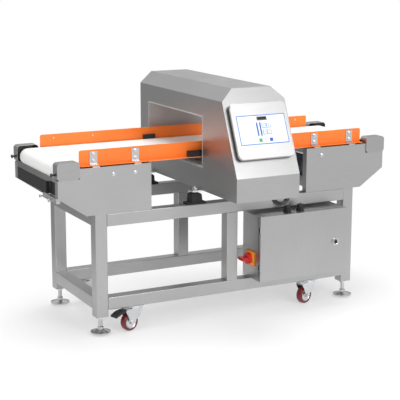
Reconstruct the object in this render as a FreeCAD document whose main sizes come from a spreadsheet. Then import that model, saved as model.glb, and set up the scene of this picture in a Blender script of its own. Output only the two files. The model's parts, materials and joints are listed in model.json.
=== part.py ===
"""Conveyor metal detector: a short belt conveyor that carries packs through a detector head.

X runs along the conveyor, Y from the operator's side to the back, Z up.
The origin is on the floor, midway between the machine's outermost points along X and along Y.
The belt's middle lies beside it, because the tension bolts and the head's front reach further out.
Lengths are in millimetres.
"""
import FreeCAD, Part
import math
import os
import re
import Sketcher
from FreeCAD import Placement, Rotation, Vector

# ---------------------------------------------------------------- driving dimensions

DIMENSIONS = {
    "stand": {
        "frame_length": 1200,
        "frame_width": 500,
        "frame_top": 490,
        "low_rail_base": 102,
        "leg_end": 74,
        "tube_size": 50,
        "tube_wall": 2,
        "tube_corner": 3,
        "mid_leg_shift": 6,
        "leg_plate": 6,
    },
    "levelling feet": {
        "foot_lift": 8,
        "foot_diameter": 80,
        "foot_edge": 5,
        "foot_rise": 14,
        "ball_diameter": 24,
        "ball_top": 27,
        "stem_diameter": 16,
        "stem_spare": 60,
        "locknut_width": 24,
        "locknut_height": 10,
    },
    "casters": {
        "caster_inset": 188,
        "caster_shift": -16,
        "caster_turn_left": 18,
        "caster_turn_right": 20,
        "caster_trail": 28,
        "wheel_diameter": 75,
        "wheel_width": 30,
        "tread_depth": 8,
        "axle_diameter": 8,
        "axle_nut": 13,
        "kingpin_diameter": 10,
        "raceway_diameter": 56,
        "raceway_height": 5,
        "caster_plate_length": 72,
        "caster_plate_thick": 3,
        "caster_plate_corner": 8,
        "fork_sheet": 2.5,
        "fork_side_gap": 2,
        "fork_crown": 7,
        "pedal_reach": 108,
        "pedal_thick": 8,
        "pedal_tread_width": 36,
        "pedal_pin_diameter": 6,
    },
    "conveyor": {
        "conveyor_length": 1500,
        "module_length": 390,
        "side_plate_top": 677,
        "side_plate_sheet": 1.5,
        "side_flange": 30,
        "nose_run": 115,
        "nose_rise": 77,
        "belt_top": 692,
        "belt_margin": 45,
        "belt_thick": 3,
        "belt_end_inset": 7,
        "roller_diameter": 60,
        "roller_overhang": 2,
        "shaft_diameter": 20,
        "board_thick": 8,
        "board_inset": 52,
        "return_gap": 5,
        "snub_diameter": 30,
        "snub_inset": 25,
        "snub_shaft": 12,
        "take_up": 10,
        "block_gap": 4,
        "block_length": 58,
        "tension_bolt": 8,
        "tension_reach": 18,
        "bar_width": 30,
        "bar_thick": 4,
    },
    "roller covers and end panels": {
        "cover_length": 93,
        "cover_top": 705,
        "cover_base": 637,
        "cover_gap": 1,
        "cover_proud": 4,
        "cover_sheet": 1.5,
        "cover_corner": 14,
        "panel_top": 616,
        "panel_inset": 128,
        "end_sheet": 2,
        "clamp_bar_length": 150,
        "clamp_bar_height": 20,
        "clamp_bar_depth": 12,
        "clamp_screw": 6,
        "clamp_screw_reach": 22,
    },
    "guide rails": {
        "rail_inset": 100,
        "rail_clearance": 10,
        "rail_sheet": 2.5,
        "rail_height": 61,
        "rail_foot": 22,
        "rail_corner": 8,
        "bracket_near_inset": 335,
        "bracket_far_inset": 159,
        "bracket_width": 32,
        "bracket_height": 52,
        "bracket_sheet": 3,
        "sensor_length": 66,
        "sensor_depth": 22,
        "sensor_height": 22,
        "sensor_setback": 19,
        "seat_thick": 2,
        "seat_inset": 4,
        "beam_height": 10,
        "beam_hole": 10,
        "reflector_length": 56,
        "reflector_depth": 8,
        "reflector_height": 18,
    },
    "drive": {
        "motor_back": 95,
        "motor_drop": 93,
        "motor_diameter": 84,
        "motor_length": 190,
        "gearbox_size": 88,
        "gearbox_length": 66,
        "pulley_diameter": 52,
        "pulley_width": 9,
        "drive_belt_width": 2.4,
        "groove_depth": 7,
        "motor_shaft": 14,
    },
    "detector head": {
        "head_length": 280,
        "head_shift": 4,
        "head_front_reach": 538,
        "head_rear_reach": 338,
        "head_base": 546,
        "head_fold": 640,
        "head_top": 970,
        "face_setback": 144,
        "top_chamfer_run": 53,
        "top_chamfer_rise": 48,
        "head_sheet": 2,
        "tunnel_width": 500,
        "tunnel_height": 200,
        "tunnel_floor": 644,
        "tunnel_corner": 5,
        "liner_wall": 6,
        "coil_width": 14,
        "coil_thick": 10,
        "coil_pitch": 70,
        "mount_reach": 20,
        "mount_length": 88,
        "mount_body": 44,
        "mount_height": 44,
        "mount_flange": 7,
        "ear_thick": 5,
        "ear_width": 40,
        "stud_diameter": 12,
        "nut_width": 19,
        "nut_height": 9,
        "loop_diameter": 18,
        "loop_span": 71,
        "loop_drop": 54,
        "loop_place": 144,
        "loop_setback": 138,
        "gland_width": 30,
    },
    "control unit": {
        "panel_width": 250,
        "panel_height": 224,
        "panel_up": 179,
        "panel_thick": 13,
        "panel_corner": 20,
        "panel_edge": 3,
        "panel_sheet": 2.5,
        "base_thick": 12,
        "base_inset": 3,
        "overlay_width": 215,
        "overlay_height": 118,
        "overlay_up": 182,
        "overlay_thick": 0.6,
        "key_size": 13,
        "key_gap": 0.4,
        "key_proud": 1.6,
        "key_depth": 3.4,
        "key_travel": 0.6,
        "key_column_one": 7.6,
        "key_column_two": 27.8,
        "key_row_high": 197,
        "key_row_middle": 170.5,
        "key_row_low": 140,
        "start_key_place": -17.3,
        "menu_key_place": 29.5,
        "display_width": 41,
        "display_height": 12,
        "display_place": 3,
        "display_up": 226,
        "bar_graph_length": 53,
        "bar_graph_width": 5,
        "bar_graph_one": -23,
        "bar_graph_two": -9,
        "bar_graph_up": 183,
        "lamp_diameter": 4,
        "lamp_place": 4,
        "lamp_up": 143,
    },
    "power cabinet": {
        "cabinet_left": 92,
        "cabinet_width": 423,
        "cabinet_height": 275,
        "cabinet_depth": 145,
        "cabinet_proud": 83,
        "cabinet_sheet": 1.5,
        "cabinet_rim": 22,
        "door_depth": 15,
        "door_gap": 3,
        "hinge_radius": 3.5,
        "hinge_pin": 4,
        "hinge_height": 26,
        "hinge_inset": 45,
        "lock_diameter": 32,
        "lock_bore": 22,
        "lock_inset": 57,
        "lock_proud": 4,
        "cam_length": 52,
        "cam_width": 14,
        "cam_thick": 3,
        "switch_plate_size": 62,
        "switch_plate_thick": 8,
        "switch_back": 79,
        "switch_height": 239,
        "switch_disc": 47,
        "switch_disc_thick": 14,
        "switch_grip_length": 44,
        "switch_grip_width": 13,
        "switch_grip_proud": 27,
        "gland_one": 243,
        "gland_two": 305,
        "cabinet_gland_width": 32,
        "cabinet_gland_dome": 27,
        "cabinet_gland_height": 28,
        "plate_stand_off": 12,
        "plate_thick": 2,
        "stand_off_diameter": 8,
        "device_depth": 75,
    },
    "fits": {
        "running_gap": 0.05,
        "loose_gap": 0.3,
        "slide_gap": 0.5,
    },
}

# Places and lengths that follow from the dimensions.
DERIVED = {
    "belt_line": "(head_front_reach - head_rear_reach) / 2",
    "centre_shift": "tension_reach / 2",
    "frame_end": "frame_length / 2",
    "caster_spread": "frame_length / 2 - caster_inset",
    "left_caster": "caster_shift - caster_spread",
    "right_caster": "caster_shift + caster_spread",
    "frame_front": "belt_line - frame_width / 2",
    "frame_back": "belt_line + frame_width / 2",
    "low_rail_top": "low_rail_base + tube_size",
    "leg_line_x": "frame_length / 2 - tube_size / 2",
    "leg_line_y": "frame_width / 2 - tube_size / 2",
    "axle_height": "wheel_diameter / 2",
    "pedal_pivot": "0.72 * wheel_diameter / 2",
    "pedal_pivot_height": "fork_crown_top - 0.85 * fork_crown",
    "fork_width": "wheel_width + 2 * fork_side_gap + 2 * fork_sheet",
    "fork_slot": "wheel_width + 2 * fork_side_gap",
    "caster_plate_base": "low_rail_base - caster_plate_thick",
    "fork_crown_top": "caster_plate_base - raceway_height",
    "conveyor_end": "conveyor_length / 2",
    "belt_width": "frame_width - 2 * belt_margin",
    "roller_half": "belt_width / 2 + roller_overhang",
    "module_inner": "conveyor_length / 2 - module_length",
    "roller_x": "conveyor_length / 2 - belt_end_inset - belt_thick - roller_diameter / 2",
    "roller_z": "belt_top - belt_thick - roller_diameter / 2",
    "board_top": "belt_top - belt_thick",
    "board_base": "belt_top - belt_thick - board_thick",
    "return_top": "belt_top - belt_thick - board_thick - return_gap",
    "snub_x": "conveyor_length / 2 - module_length + snub_inset",
    "snub_z": "return_top - belt_thick - snub_diameter / 2",
    "cover_end": "conveyor_length / 2 + belt_thick",
    "cover_inner": "cover_end - cover_length",
    "cover_depth": "frame_width / 2 + cover_proud - roller_half - cover_gap",
    "shaft_reach": "frame_width / 2 - block_gap - slide_gap",
    "block_inner": "pulley_y + pulley_width + slide_gap",
    "block_thick": "shaft_reach - block_inner",
    "block_base": "cover_base + cover_sheet + slide_gap",
    "block_top": "cover_top - cover_sheet - slide_gap",
    "block_end": "cover_end - cover_sheet - slide_gap",
    "rail_base": "side_plate_top + bar_thick",
    "rail_gap": "belt_width + 2 * rail_clearance",
    "rail_length": "conveyor_length - 2 * rail_inset",
    "rail_face": "rail_gap / 2 + rail_sheet",
    "bracket_near": "conveyor_end - bracket_near_inset",
    "bracket_far": "conveyor_end - bracket_far_inset",
    "sensor_place": "sensor_setback - head_left",
    "motor_x": "roller_x - motor_back",
    "motor_z": "roller_z - motor_drop",
    "pulley_y": "roller_half + cover_gap",
    "head_left": "head_shift - head_length / 2",
    "head_right": "head_shift + head_length / 2",
    "head_front": "belt_line - head_front_reach",
    "head_back": "belt_line + head_rear_reach",
    "face_slope": "face_setback / (head_top - head_fold)",
    "face_tilt": "atan(face_setback / (head_top - head_fold))",
    "mount_x": "head_length / 2 + mount_reach",
    "mount_top": "frame_top + mount_height",
    "panel_front": "base_thick + panel_thick",
    "cabinet_front": "frame_front - cabinet_proud",
    "cabinet_base": "low_rail_top",
    "cabinet_right": "cabinet_left + cabinet_width",
    "cabinet_top": "low_rail_top + cabinet_height",
    "box_front": "cabinet_front + door_depth + door_gap",
    "cabinet_back": "cabinet_front + cabinet_depth",
    "hinge_x": "cabinet_left + cabinet_sheet + hinge_radius + 0.5",
    "hinge_y": "cabinet_front + door_depth - hinge_radius - 2",
}

doc = FreeCAD.newDocument("ConveyorMetalDetector")
sheet = doc.addObject("Spreadsheet::Sheet", "Sizes")

SIZES = {}
row = 1
for section, entries in DIMENSIONS.items():
    sheet.set("A%d" % row, section)
    row += 1
    for alias, amount in entries.items():
        sheet.set("A%d" % row, alias.replace("_", " "))
        sheet.set("B%d" % row, str(amount))
        sheet.setAlias("B%d" % row, alias)
        SIZES[alias] = amount
        row += 1
doc.recompute()


def formula(text):
    """Return the text with each name written as its cell, or as the formula that it stands for."""
    def swap(match):
        word = match.group(0)
        if word in DERIVED:
            return "(" + formula(DERIVED[word]) + ")"
        if word in SIZES:
            return "Sizes." + word
        return word
    return re.sub(r"[a-z][a-z_]*", swap, str(text))


def value(text):
    """Return the number that a formula gives, in millimetres or degrees."""
    result = sheet.evalExpression(formula(text))
    return float(getattr(result, "Value", result))


# ---------------------------------------------------------------- building helpers

NODES = []
PLACES = {}


def node(label, item):
    """Keep an object as a finished sub-part, moved so that the whole machine is centred on the origin."""
    item.Label = label
    item.setExpression("Placement.Base.x", formula("%s + centre_shift" % PLACES.get(item.Name, "0")))
    NODES.append(item)
    return item


def place(item, at, turn=None):
    """Set an object at a point given by formulas, turned by an optional rotation."""
    rotation = turn if turn is not None else Rotation()
    PLACES[item.Name] = at[0]
    item.Placement = Placement(Vector(*[value(text) for text in at]), rotation)
    for axis, text in zip("xyz", at):
        item.setExpression("Placement.Base." + axis, formula(text))
    return item


def box(name, at, size):
    """Make a block from its lowest corner and its three lengths."""
    item = doc.addObject("Part::Box", name)
    for key, text in zip(("Length", "Width", "Height"), size):
        item.setExpression(key, formula(text))
    return place(item, at)


ROUND_AXES = {
    "X": Rotation(Vector(0, 1, 0), 90),
    "Y": Rotation(Vector(1, 0, 0), -90),
    "Z": Rotation(),
}


def rod(name, at, diameter, length, axis="Z"):
    """Make a cylinder that runs from a point along an axis."""
    item = doc.addObject("Part::Cylinder", name)
    item.setExpression("Radius", formula("(%s) / 2" % diameter))
    item.setExpression("Height", formula(length))
    return place(item, at, ROUND_AXES[axis])


def hexagon(name, at, across, length, axis="Z"):
    """Make a six-sided head or nut from its width across flats."""
    item = doc.addObject("Part::Prism", name)
    item.Polygon = 6
    item.setExpression("Circumradius", formula("(%s) / sqrt(3)" % across))
    item.setExpression("Height", formula(length))
    return place(item, at, ROUND_AXES[axis])


def fused(name, items):
    """Join objects into one solid."""
    item = doc.addObject("Part::MultiFuse", name)
    item.Shapes = items
    item.Refine = True
    return item


def cut(name, base, tool):
    """Take one object away from another."""
    item = doc.addObject("Part::Cut", name)
    item.Base = base
    item.Tool = tool
    return item


def group(name, items):
    """Hold separate solids as one sub-part."""
    item = doc.addObject("Part::Compound", name)
    item.Links = items
    return item


def mirrored(item, axis, at):
    """Mirror an object in the plane across an axis at a place."""
    copy = doc.addObject("Part::Mirroring", item.Name + "_across_" + axis)
    copy.Source = item
    copy.Normal = Vector(*[1 if axis == letter else 0 for letter in "xyz"])
    copy.setExpression("Base." + axis, formula(at))
    return copy


def front_and_back(items):
    """Return the objects with their mirror copies across the belt's centre line."""
    return items + [mirrored(item, "y", "belt_line") for item in items]


def left_and_right(items, middle="0"):
    """Return the objects with their mirror copies across the middle of the length."""
    return items + [mirrored(item, "x", middle) for item in items]


def four_corners(items, middle="0"):
    """Return the objects with their copies at the other three corners."""
    return front_and_back(left_and_right(items, middle))


def body(name, at=("0", "0", "0"), turn=None):
    """Start a PartDesign body at a place."""
    return place(doc.addObject("PartDesign::Body", name), at, turn)


def sketch(owner, name, plane, lift="0"):
    """Add a sketch on one of the body's own origin planes, raised along its normal."""
    item = owner.newObject("Sketcher::SketchObject", name)
    support = [face for face in owner.Origin.OriginFeatures if face.Role == plane + "_Plane"][0]
    item.AttachmentSupport = [(support, "")]
    item.MapMode = "FlatFace"
    item.setExpression("AttachmentOffset.Base.z", formula(lift))
    return item


def outline(item, points):
    """Draw a closed outline whose corners are held at formula distances from the origin."""
    first = item.GeometryCount
    corners = [Vector(value(across), value(up), 0) for across, up in points]
    for index, corner in enumerate(corners):
        item.addGeometry(Part.LineSegment(corner, corners[(index + 1) % len(corners)]))
    for index, (across, up) in enumerate(points):
        line = first + index
        following = first + (index + 1) % len(points)
        item.addConstraint(Sketcher.Constraint("Coincident", line, 2, following, 1))
        for kind, text, amount in (("DistanceX", across, corners[index].x), ("DistanceY", up, corners[index].y)):
            number = item.addConstraint(Sketcher.Constraint(kind, -1, 1, line, 1, amount))
            item.setExpression("Constraints[%d]" % number, formula(text))
    return item


def rectangle(item, left, low, right, high):
    """Draw a rectangle between two corners."""
    return outline(item, [(left, low), (right, low), (right, high), (left, high)])


def circle(item, across, up, diameter):
    """Draw a circle held by its centre and diameter."""
    centre = Vector(value(across), value(up), 0)
    number = item.addGeometry(Part.Circle(centre, Vector(0, 0, 1), value(diameter) / 2))
    held = item.addConstraint(Sketcher.Constraint("DistanceX", -1, 1, number, 3, centre.x))
    item.setExpression("Constraints[%d]" % held, formula(across))
    held = item.addConstraint(Sketcher.Constraint("DistanceY", -1, 1, number, 3, centre.y))
    item.setExpression("Constraints[%d]" % held, formula(up))
    held = item.addConstraint(Sketcher.Constraint("Diameter", number, value(diameter)))
    item.setExpression("Constraints[%d]" % held, formula(diameter))
    return item


def feature(kind, owner, name, profile, length, reverse=False, middle=False):
    """Pad or pocket a sketch by a length, and check that it changed the body."""
    before = owner.Shape.Volume if not owner.Shape.isNull() else 0.0
    item = owner.newObject("PartDesign::" + kind, name)
    item.Profile = profile
    item.Type = "Length"
    item.Reversed = reverse
    item.Midplane = middle
    item.setExpression("Length", formula(length))
    doc.recompute()
    if abs(owner.Shape.Volume - before) < 1e-6:
        raise RuntimeError("%s changed nothing" % name)
    return item


def pad(owner, name, profile, length, reverse=False, middle=False):
    return feature("Pad", owner, name, profile, length, reverse, middle)


def pocket(owner, name, profile, length, reverse=False, middle=False):
    return feature("Pocket", owner, name, profile, length, reverse, middle)


def turned(owner, name, profile):
    """Revolve a sketch a full turn about its vertical axis."""
    item = owner.newObject("PartDesign::Revolution", name)
    item.Profile = profile
    item.ReferenceAxis = (profile, ["V_Axis"])
    item.Angle = 360
    doc.recompute()
    return item


def edges_where(item, test):
    """Name the straight edges of a feature that pass a test on their middle and direction."""
    names = []
    for index, edge in enumerate(item.Shape.Edges):
        if edge.Curve.TypeId != "Part::GeomLine":
            continue
        middle = (edge.Vertexes[0].Point + edge.Vertexes[-1].Point) / 2
        if test(middle, edge.tangentAt(edge.FirstParameter)):
            names.append("Edge%d" % (index + 1))
    return names


def rounded(owner, name, base, radius, test):
    """Fillet the edges of a feature that pass a test."""
    item = owner.newObject("PartDesign::Fillet", name)
    item.Base = (base, edges_where(base, test))
    item.setExpression("Radius", formula(radius))
    doc.recompute()
    return item


def hollowed(owner, name, base, wall, direction):
    """Shell a body inwards, open at the flat face that lies furthest along a direction."""
    def reach(index):
        return base.Shape.Faces[index].CenterOfMass.dot(direction)
    flat = [
        index for index, face in enumerate(base.Shape.Faces)
        if face.Surface.TypeId == "Part::GeomPlane" and abs(face.normalAt(0, 0).dot(direction)) > 0.999
    ]
    item = owner.newObject("PartDesign::Thickness", name)
    item.Base = (base, ["Face%d" % (max(flat, key=reach) + 1)])
    item.setExpression("Value", formula(wall))
    item.Mode = "Skin"
    item.Join = "Intersection"
    item.Reversed = True
    doc.recompute()
    return item


def along(letter):
    """Return a test for edges that run along an axis."""
    direction = Vector(*[1 if letter == axis else 0 for axis in "XYZ"])
    return lambda middle, tangent: abs(tangent.dot(direction)) > 0.999


def shape_feature(name, shape, at):
    """Keep a shape worked out from the sheet's values, set at its place."""
    item = doc.addObject("Part::Feature", name)
    item.Shape = shape
    return place(item, at)


# ---------------------------------------------------------------- stand

def square_tube(name, plane, length, at, reverse=False):
    """Make a length of square tube with rounded corners, open at both ends."""
    owner = body(name, at)
    profile = rectangle(sketch(owner, name + "_outside", plane), "0", "0", "tube_size", "tube_size")
    solid = pad(owner, name + "_bar", profile, length, reverse)
    run = {"XY": "Z", "XZ": "Y", "YZ": "X"}[plane]
    rounded(owner, name + "_corners", solid, "tube_corner", along(run))
    bore = rectangle(sketch(owner, name + "_inside", plane), "tube_wall", "tube_wall",
                     "tube_size - tube_wall", "tube_size - tube_wall")
    pocket(owner, name + "_bore", bore, length, not reverse)
    return owner


def corner_leg():
    """A leg closed at its top, with a bored plate at its foot for the levelling stem."""
    owner = body("corner_leg", ("-frame_end", "frame_front", "leg_end"))
    profile = rectangle(sketch(owner, "leg_outside", "XY"), "0", "0", "tube_size", "tube_size")
    solid = pad(owner, "leg_bar", profile, "frame_top - leg_end")
    rounded(owner, "leg_corners", solid, "tube_corner", along("Z"))
    bore = rectangle(sketch(owner, "leg_inside", "XY"), "tube_wall", "tube_wall",
                     "tube_size - tube_wall", "tube_size - tube_wall")
    pocket(owner, "leg_bore", bore, "frame_top - leg_end - tube_wall", reverse=True)
    plate = rectangle(sketch(owner, "leg_plate_outline", "XY"), "tube_wall", "tube_wall",
                      "tube_size - tube_wall", "tube_size - tube_wall")
    circle(plate, "tube_size / 2", "tube_size / 2", "stem_diameter + 2 * running_gap")
    pad(owner, "leg_plate", plate, "leg_plate")
    return owner


def stand():
    middle_leg = square_tube("middle_leg", "XY", "frame_top - tube_size - low_rail_top",
                             ("mid_leg_shift - tube_size / 2", "frame_front", "low_rail_top"))
    node("frame_legs", group("legs", four_corners([corner_leg()]) + front_and_back([middle_leg])))
    rail_start = "-frame_end + tube_size"
    cross_start = "frame_front + tube_size"
    top_rail = square_tube("top_rail", "YZ", "frame_length - 2 * tube_size",
                           (rail_start, "frame_front", "frame_top - tube_size"))
    low_rail = square_tube("low_rail", "YZ", "frame_length - 2 * tube_size",
                           (rail_start, "frame_front", "low_rail_base"))
    top_cross = square_tube("top_cross", "XZ", "frame_width - 2 * tube_size",
                            ("-frame_end", cross_start, "frame_top - tube_size"), reverse=True)
    low_cross = square_tube("low_cross", "XZ", "frame_width - 2 * tube_size",
                            ("-frame_end", cross_start, "low_rail_base"), reverse=True)
    long_rails = front_and_back([top_rail, low_rail])
    cross_rails = left_and_right([top_cross, low_cross])
    node("frame_rails", group("rails", long_rails + cross_rails))


CORNERS = {
    "front_left": ("-1", "-1"),
    "front_right": ("1", "-1"),
    "rear_left": ("-1", "1"),
    "rear_right": ("1", "1"),
}


def levelling_feet():
    """A round pad with a ball seat and a threaded stem that screws up into each corner leg."""
    nuts = []
    for corner, (side_x, side_y) in CORNERS.items():
        at = (side_x + " * leg_line_x", "belt_line + %s * leg_line_y" % side_y, "foot_lift")
        owner = body("foot_" + corner, at)
        profile = outline(sketch(owner, "foot_profile_" + corner, "XZ"), [
            ("0", "0"), ("foot_diameter / 2", "0"), ("foot_diameter / 2", "foot_edge"),
            ("ball_diameter / 2 + 6", "foot_rise - 2"), ("ball_diameter / 2", "foot_rise"),
            ("ball_diameter / 2", "ball_top - 4"), ("stem_diameter / 2", "ball_top"),
            ("stem_diameter / 2", "leg_end - foot_lift + stem_spare"), ("0", "leg_end - foot_lift + stem_spare"),
        ])
        turned(owner, "foot_turned_" + corner, profile)
        node("levelling_foot_" + corner, owner)
        nut_at = (at[0], at[1], "leg_end - locknut_height")
        blank = hexagon("nut_blank_" + corner, nut_at, "locknut_width", "locknut_height")
        hole = rod("nut_hole_" + corner, nut_at, "stem_diameter + 2 * running_gap", "locknut_height")
        nuts.append(cut("locknut_" + corner, blank, hole))
    node("foot_locknuts", group("locknuts", nuts))


# ---------------------------------------------------------------- casters

def caster_body(name, corner, reach="0", height="0"):
    """Start a body that has swung with its caster, a reach behind the swivel axis and at a height."""
    side = corner.split("_")[1]
    swing = "caster_turn_%s * 1 deg" % side
    centre_y = "belt_line + %s * leg_line_y" % CORNERS[corner][1]
    at = ("%s_caster - (%s) * cos(%s)" % (side, reach, swing), "%s - (%s) * sin(%s)" % (centre_y, reach, swing), height)
    owner = body(name + "_" + corner, at, Rotation(Vector(0, 0, 1), value(swing)))
    owner.setExpression("Placement.Rotation.Angle", formula(swing))
    return owner


def caster_plate(corner):
    """The fixed top plate, with eased corners and a bore for the kingpin."""
    side = corner.split("_")[1]
    owner = body("caster_plate_" + corner, (side + "_caster", "belt_line + %s * leg_line_y" % CORNERS[corner][1],
                                            "caster_plate_base"))
    profile = rectangle(sketch(owner, "plate_outline_" + corner, "XY"),
                        "-caster_plate_length / 2", "-tube_size / 2", "caster_plate_length / 2", "tube_size / 2")
    circle(profile, "0", "0", "kingpin_diameter + 2 * running_gap")
    sheet_pad = pad(owner, "plate_sheet_" + corner, profile, "caster_plate_thick")
    rounded(owner, "plate_corners_" + corner, sheet_pad, "caster_plate_corner", along("Z"))
    return owner


def caster_fork(corner, braked):
    """A pressed fork: two tapered cheeks under a crown, with axle, raceway, kingpin and the brake's pin."""
    owner = caster_body("fork", corner)
    crown = "fork_crown_top - fork_crown"
    cheeks = outline(sketch(owner, "cheek_outline_" + corner, "XZ"), [
        ("raceway_diameter / 2", "fork_crown_top"), ("raceway_diameter / 2", crown),
        ("raceway_diameter / 4", "axle_height + wheel_diameter / 4"),
        ("-caster_trail + axle_diameter", "axle_height"),
        ("-caster_trail + axle_diameter / 2", "axle_height - axle_diameter"),
        ("-caster_trail - axle_diameter / 2", "axle_height - axle_diameter"),
        ("-caster_trail - axle_diameter", "axle_height"),
        ("-caster_trail - wheel_diameter / 4", "axle_height + wheel_diameter / 3"),
        ("-caster_trail - pedal_pivot - axle_diameter / 2", "pedal_pivot_height - axle_diameter / 2"),
        ("-caster_trail - pedal_pivot - axle_diameter / 2", "pedal_pivot_height + axle_diameter / 2"),
        ("-raceway_diameter / 2", "fork_crown_top"),
    ])
    solid = pad(owner, "cheeks_" + corner, cheeks, "fork_width", middle=True)
    rounded(owner, "cheek_corners_" + corner, solid, "axle_diameter / 3",
            lambda middle, tangent: abs(tangent.y) > 0.999 and middle.z < value("fork_crown_top - 1"))
    slot = outline(sketch(owner, "slot_outline_" + corner, "XZ"), [
        ("wheel_diameter", "0"), ("wheel_diameter", crown), ("-raceway_diameter / 2 - fork_sheet", crown),
        ("-raceway_diameter / 2 - fork_sheet", "2 * fork_crown_top"), ("-2 * wheel_diameter", "2 * fork_crown_top"),
        ("-2 * wheel_diameter", "0"),
    ])
    pocket(owner, "slot_" + corner, slot, "fork_slot", middle=True)
    race = circle(sketch(owner, "race_outline_" + corner, "XY", "fork_crown_top - fork_sheet"),
                  "0", "0", "raceway_diameter")
    pad(owner, "raceway_" + corner, race, "caster_plate_base - loose_gap - fork_crown_top + fork_sheet")
    pin = circle(sketch(owner, "kingpin_outline_" + corner, "XY", "fork_crown_top"), "0", "0", "kingpin_diameter")
    pad(owner, "kingpin_" + corner, pin, "low_rail_base - fork_crown_top - loose_gap")
    axle = circle(sketch(owner, "axle_outline_" + corner, "XZ"), "-caster_trail", "axle_height", "axle_diameter")
    pad(owner, "axle_" + corner, axle, "fork_width + axle_diameter", middle=True)
    if braked:
        pivot = circle(sketch(owner, "pivot_outline_" + corner, "XZ"),
                       "-caster_trail - pedal_pivot", "pedal_pivot_height", "pedal_pin_diameter")
        pad(owner, "pedal_pin_" + corner, pivot, "fork_width", middle=True)
    return owner


def caster_wheel(corner):
    """A moulded core with a tread round it, turned about the axle and dished on both sides."""
    owner = caster_body("wheel", corner, "caster_trail", "axle_height")
    half = "wheel_width / 2"
    radius = "wheel_diameter / 2"
    rim = "wheel_diameter / 2 - tread_depth"
    side = [
        ("axle_diameter / 2 + running_gap", half), ("axle_diameter", half),
        ("axle_diameter + 3", "0.6 * wheel_width / 2"), (rim + " - 3", "0.6 * wheel_width / 2"),
        (rim, half + " - 0.5"), (radius + " - tread_depth / 2", half + " - 0.5"), (radius, "0.55 * wheel_width / 2"),
    ]
    mirror_side = [(across, "-(%s)" % up) for across, up in reversed(side)]
    profile = outline(sketch(owner, "wheel_profile_" + corner, "XY"), side + mirror_side)
    turned(owner, "wheel_turned_" + corner, profile)
    return owner


def caster_pedal(corner):
    """The brake lever, which pivots between the fork's cheeks and ends in a wide tread."""
    owner = caster_body("pedal", corner, "caster_trail + pedal_pivot", "pedal_pivot_height")
    tip = "-(pedal_reach - caster_trail - pedal_pivot)"
    lever = outline(sketch(owner, "lever_outline_" + corner, "XZ"), [
        ("pedal_thick * 0.6", "-pedal_thick / 2"), ("pedal_thick * 0.6", "pedal_thick / 2"),
        (tip + " * 0.25", "pedal_thick * 0.6"), (tip + " * 0.7", "-pedal_thick * 0.4"), (tip, "-pedal_thick * 1.4"),
        (tip, "-pedal_thick * 2.0"), (tip + " * 0.7", "-pedal_thick * 1.2"), (tip + " * 0.25", "-pedal_thick * 0.6"),
    ])
    pad(owner, "lever_" + corner, lever, "fork_slot - 2 * slide_gap", middle=True)
    tread = outline(sketch(owner, "tread_outline_" + corner, "XZ"), [
        (tip + " - 2", "-pedal_thick * 1.3"), (tip + " - 2", "-pedal_thick * 2.2"),
        (tip + " * 0.7", "-pedal_thick * 1.4"), (tip + " * 0.42", "-pedal_thick * 0.7"),
        (tip + " * 0.42", "pedal_thick * 0.4"), (tip + " * 0.7", "-pedal_thick * 0.2"),
    ])
    pad(owner, "tread_" + corner, tread, "pedal_tread_width", middle=True)
    hole = circle(sketch(owner, "pedal_hole_outline_" + corner, "XZ"), "0", "0",
                  "pedal_pin_diameter + 2 * running_gap")
    pocket(owner, "pedal_hole_" + corner, hole, "fork_width", middle=True)
    return owner


def casters():
    """Two braked swivel casters on the left and two plain ones on the right."""
    plates = []
    for corner in CORNERS:
        braked = corner.endswith("left")
        plates.append(caster_plate(corner))
        node("caster_fork_" + corner, caster_fork(corner, braked))
        node("caster_wheel_" + corner, caster_wheel(corner))
        if braked:
            node("caster_pedal_" + corner, caster_pedal(corner))
    node("caster_plates", group("plates", plates))


# ---------------------------------------------------------------- conveyor

def side_plates():
    """Deep folded pans with sloped noses, open towards the belt and notched for the roller covers."""
    owner = body("side_plate", ("0", "frame_front", "0"))
    profile = outline(sketch(owner, "side_outline", "XZ"), [
        ("-conveyor_end", "frame_top + nose_rise"), ("-conveyor_end + nose_run", "frame_top"),
        ("-module_inner", "frame_top"), ("-module_inner", "side_plate_top"),
        ("-cover_inner", "side_plate_top"), ("-cover_inner", "cover_base"), ("-conveyor_end", "cover_base"),
    ])
    solid = pad(owner, "side_block", profile, "side_flange", reverse=True)
    hollowed(owner, "side_pan", solid, "side_plate_sheet", Vector(0, 1, 0))
    node("side_plates", group("sides", four_corners([owner])))


def roller_cover(name, bolt_hole):
    """A rounded cover over one roller end, open towards the belt."""
    owner = body(name, ("-cover_end", "frame_front - cover_proud", "cover_base"))
    profile = rectangle(sketch(owner, name + "_outline", "XZ"), "0", "0", "cover_length", "cover_top - cover_base")
    solid = pad(owner, name + "_block", profile, "cover_depth", reverse=True)
    round_block = rounded(owner, name + "_corners", solid, "cover_corner", along("Y"))
    hollowed(owner, name + "_pan", round_block, "cover_sheet", Vector(0, 1, 0))
    if bolt_hole:
        hole = circle(sketch(owner, name + "_bolt_outline", "YZ", "-1"),
                      "cover_proud + block_gap + slide_gap + block_thick / 2", "roller_z - cover_base",
                      "tension_bolt + 3")
        pocket(owner, name + "_bolt_hole", hole, "3 * cover_sheet + 1", reverse=True)
    else:
        clearance = rectangle(sketch(owner, name + "_belt_gap", "XY", "-cover_sheet"),
                              "cover_corner", "cover_depth - pulley_width - 2 * cover_gap",
                              "cover_length + 1", "cover_depth + 1")
        pocket(owner, name + "_belt_window", clearance, "cover_corner + 3 * cover_sheet", reverse=True)
    return owner


def roller_covers():
    tail = roller_cover("tail_cover", True)
    drive = mirrored(roller_cover("drive_cover", False), "x", "0")
    node("roller_covers", group("covers", front_and_back([tail, drive])))


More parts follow.
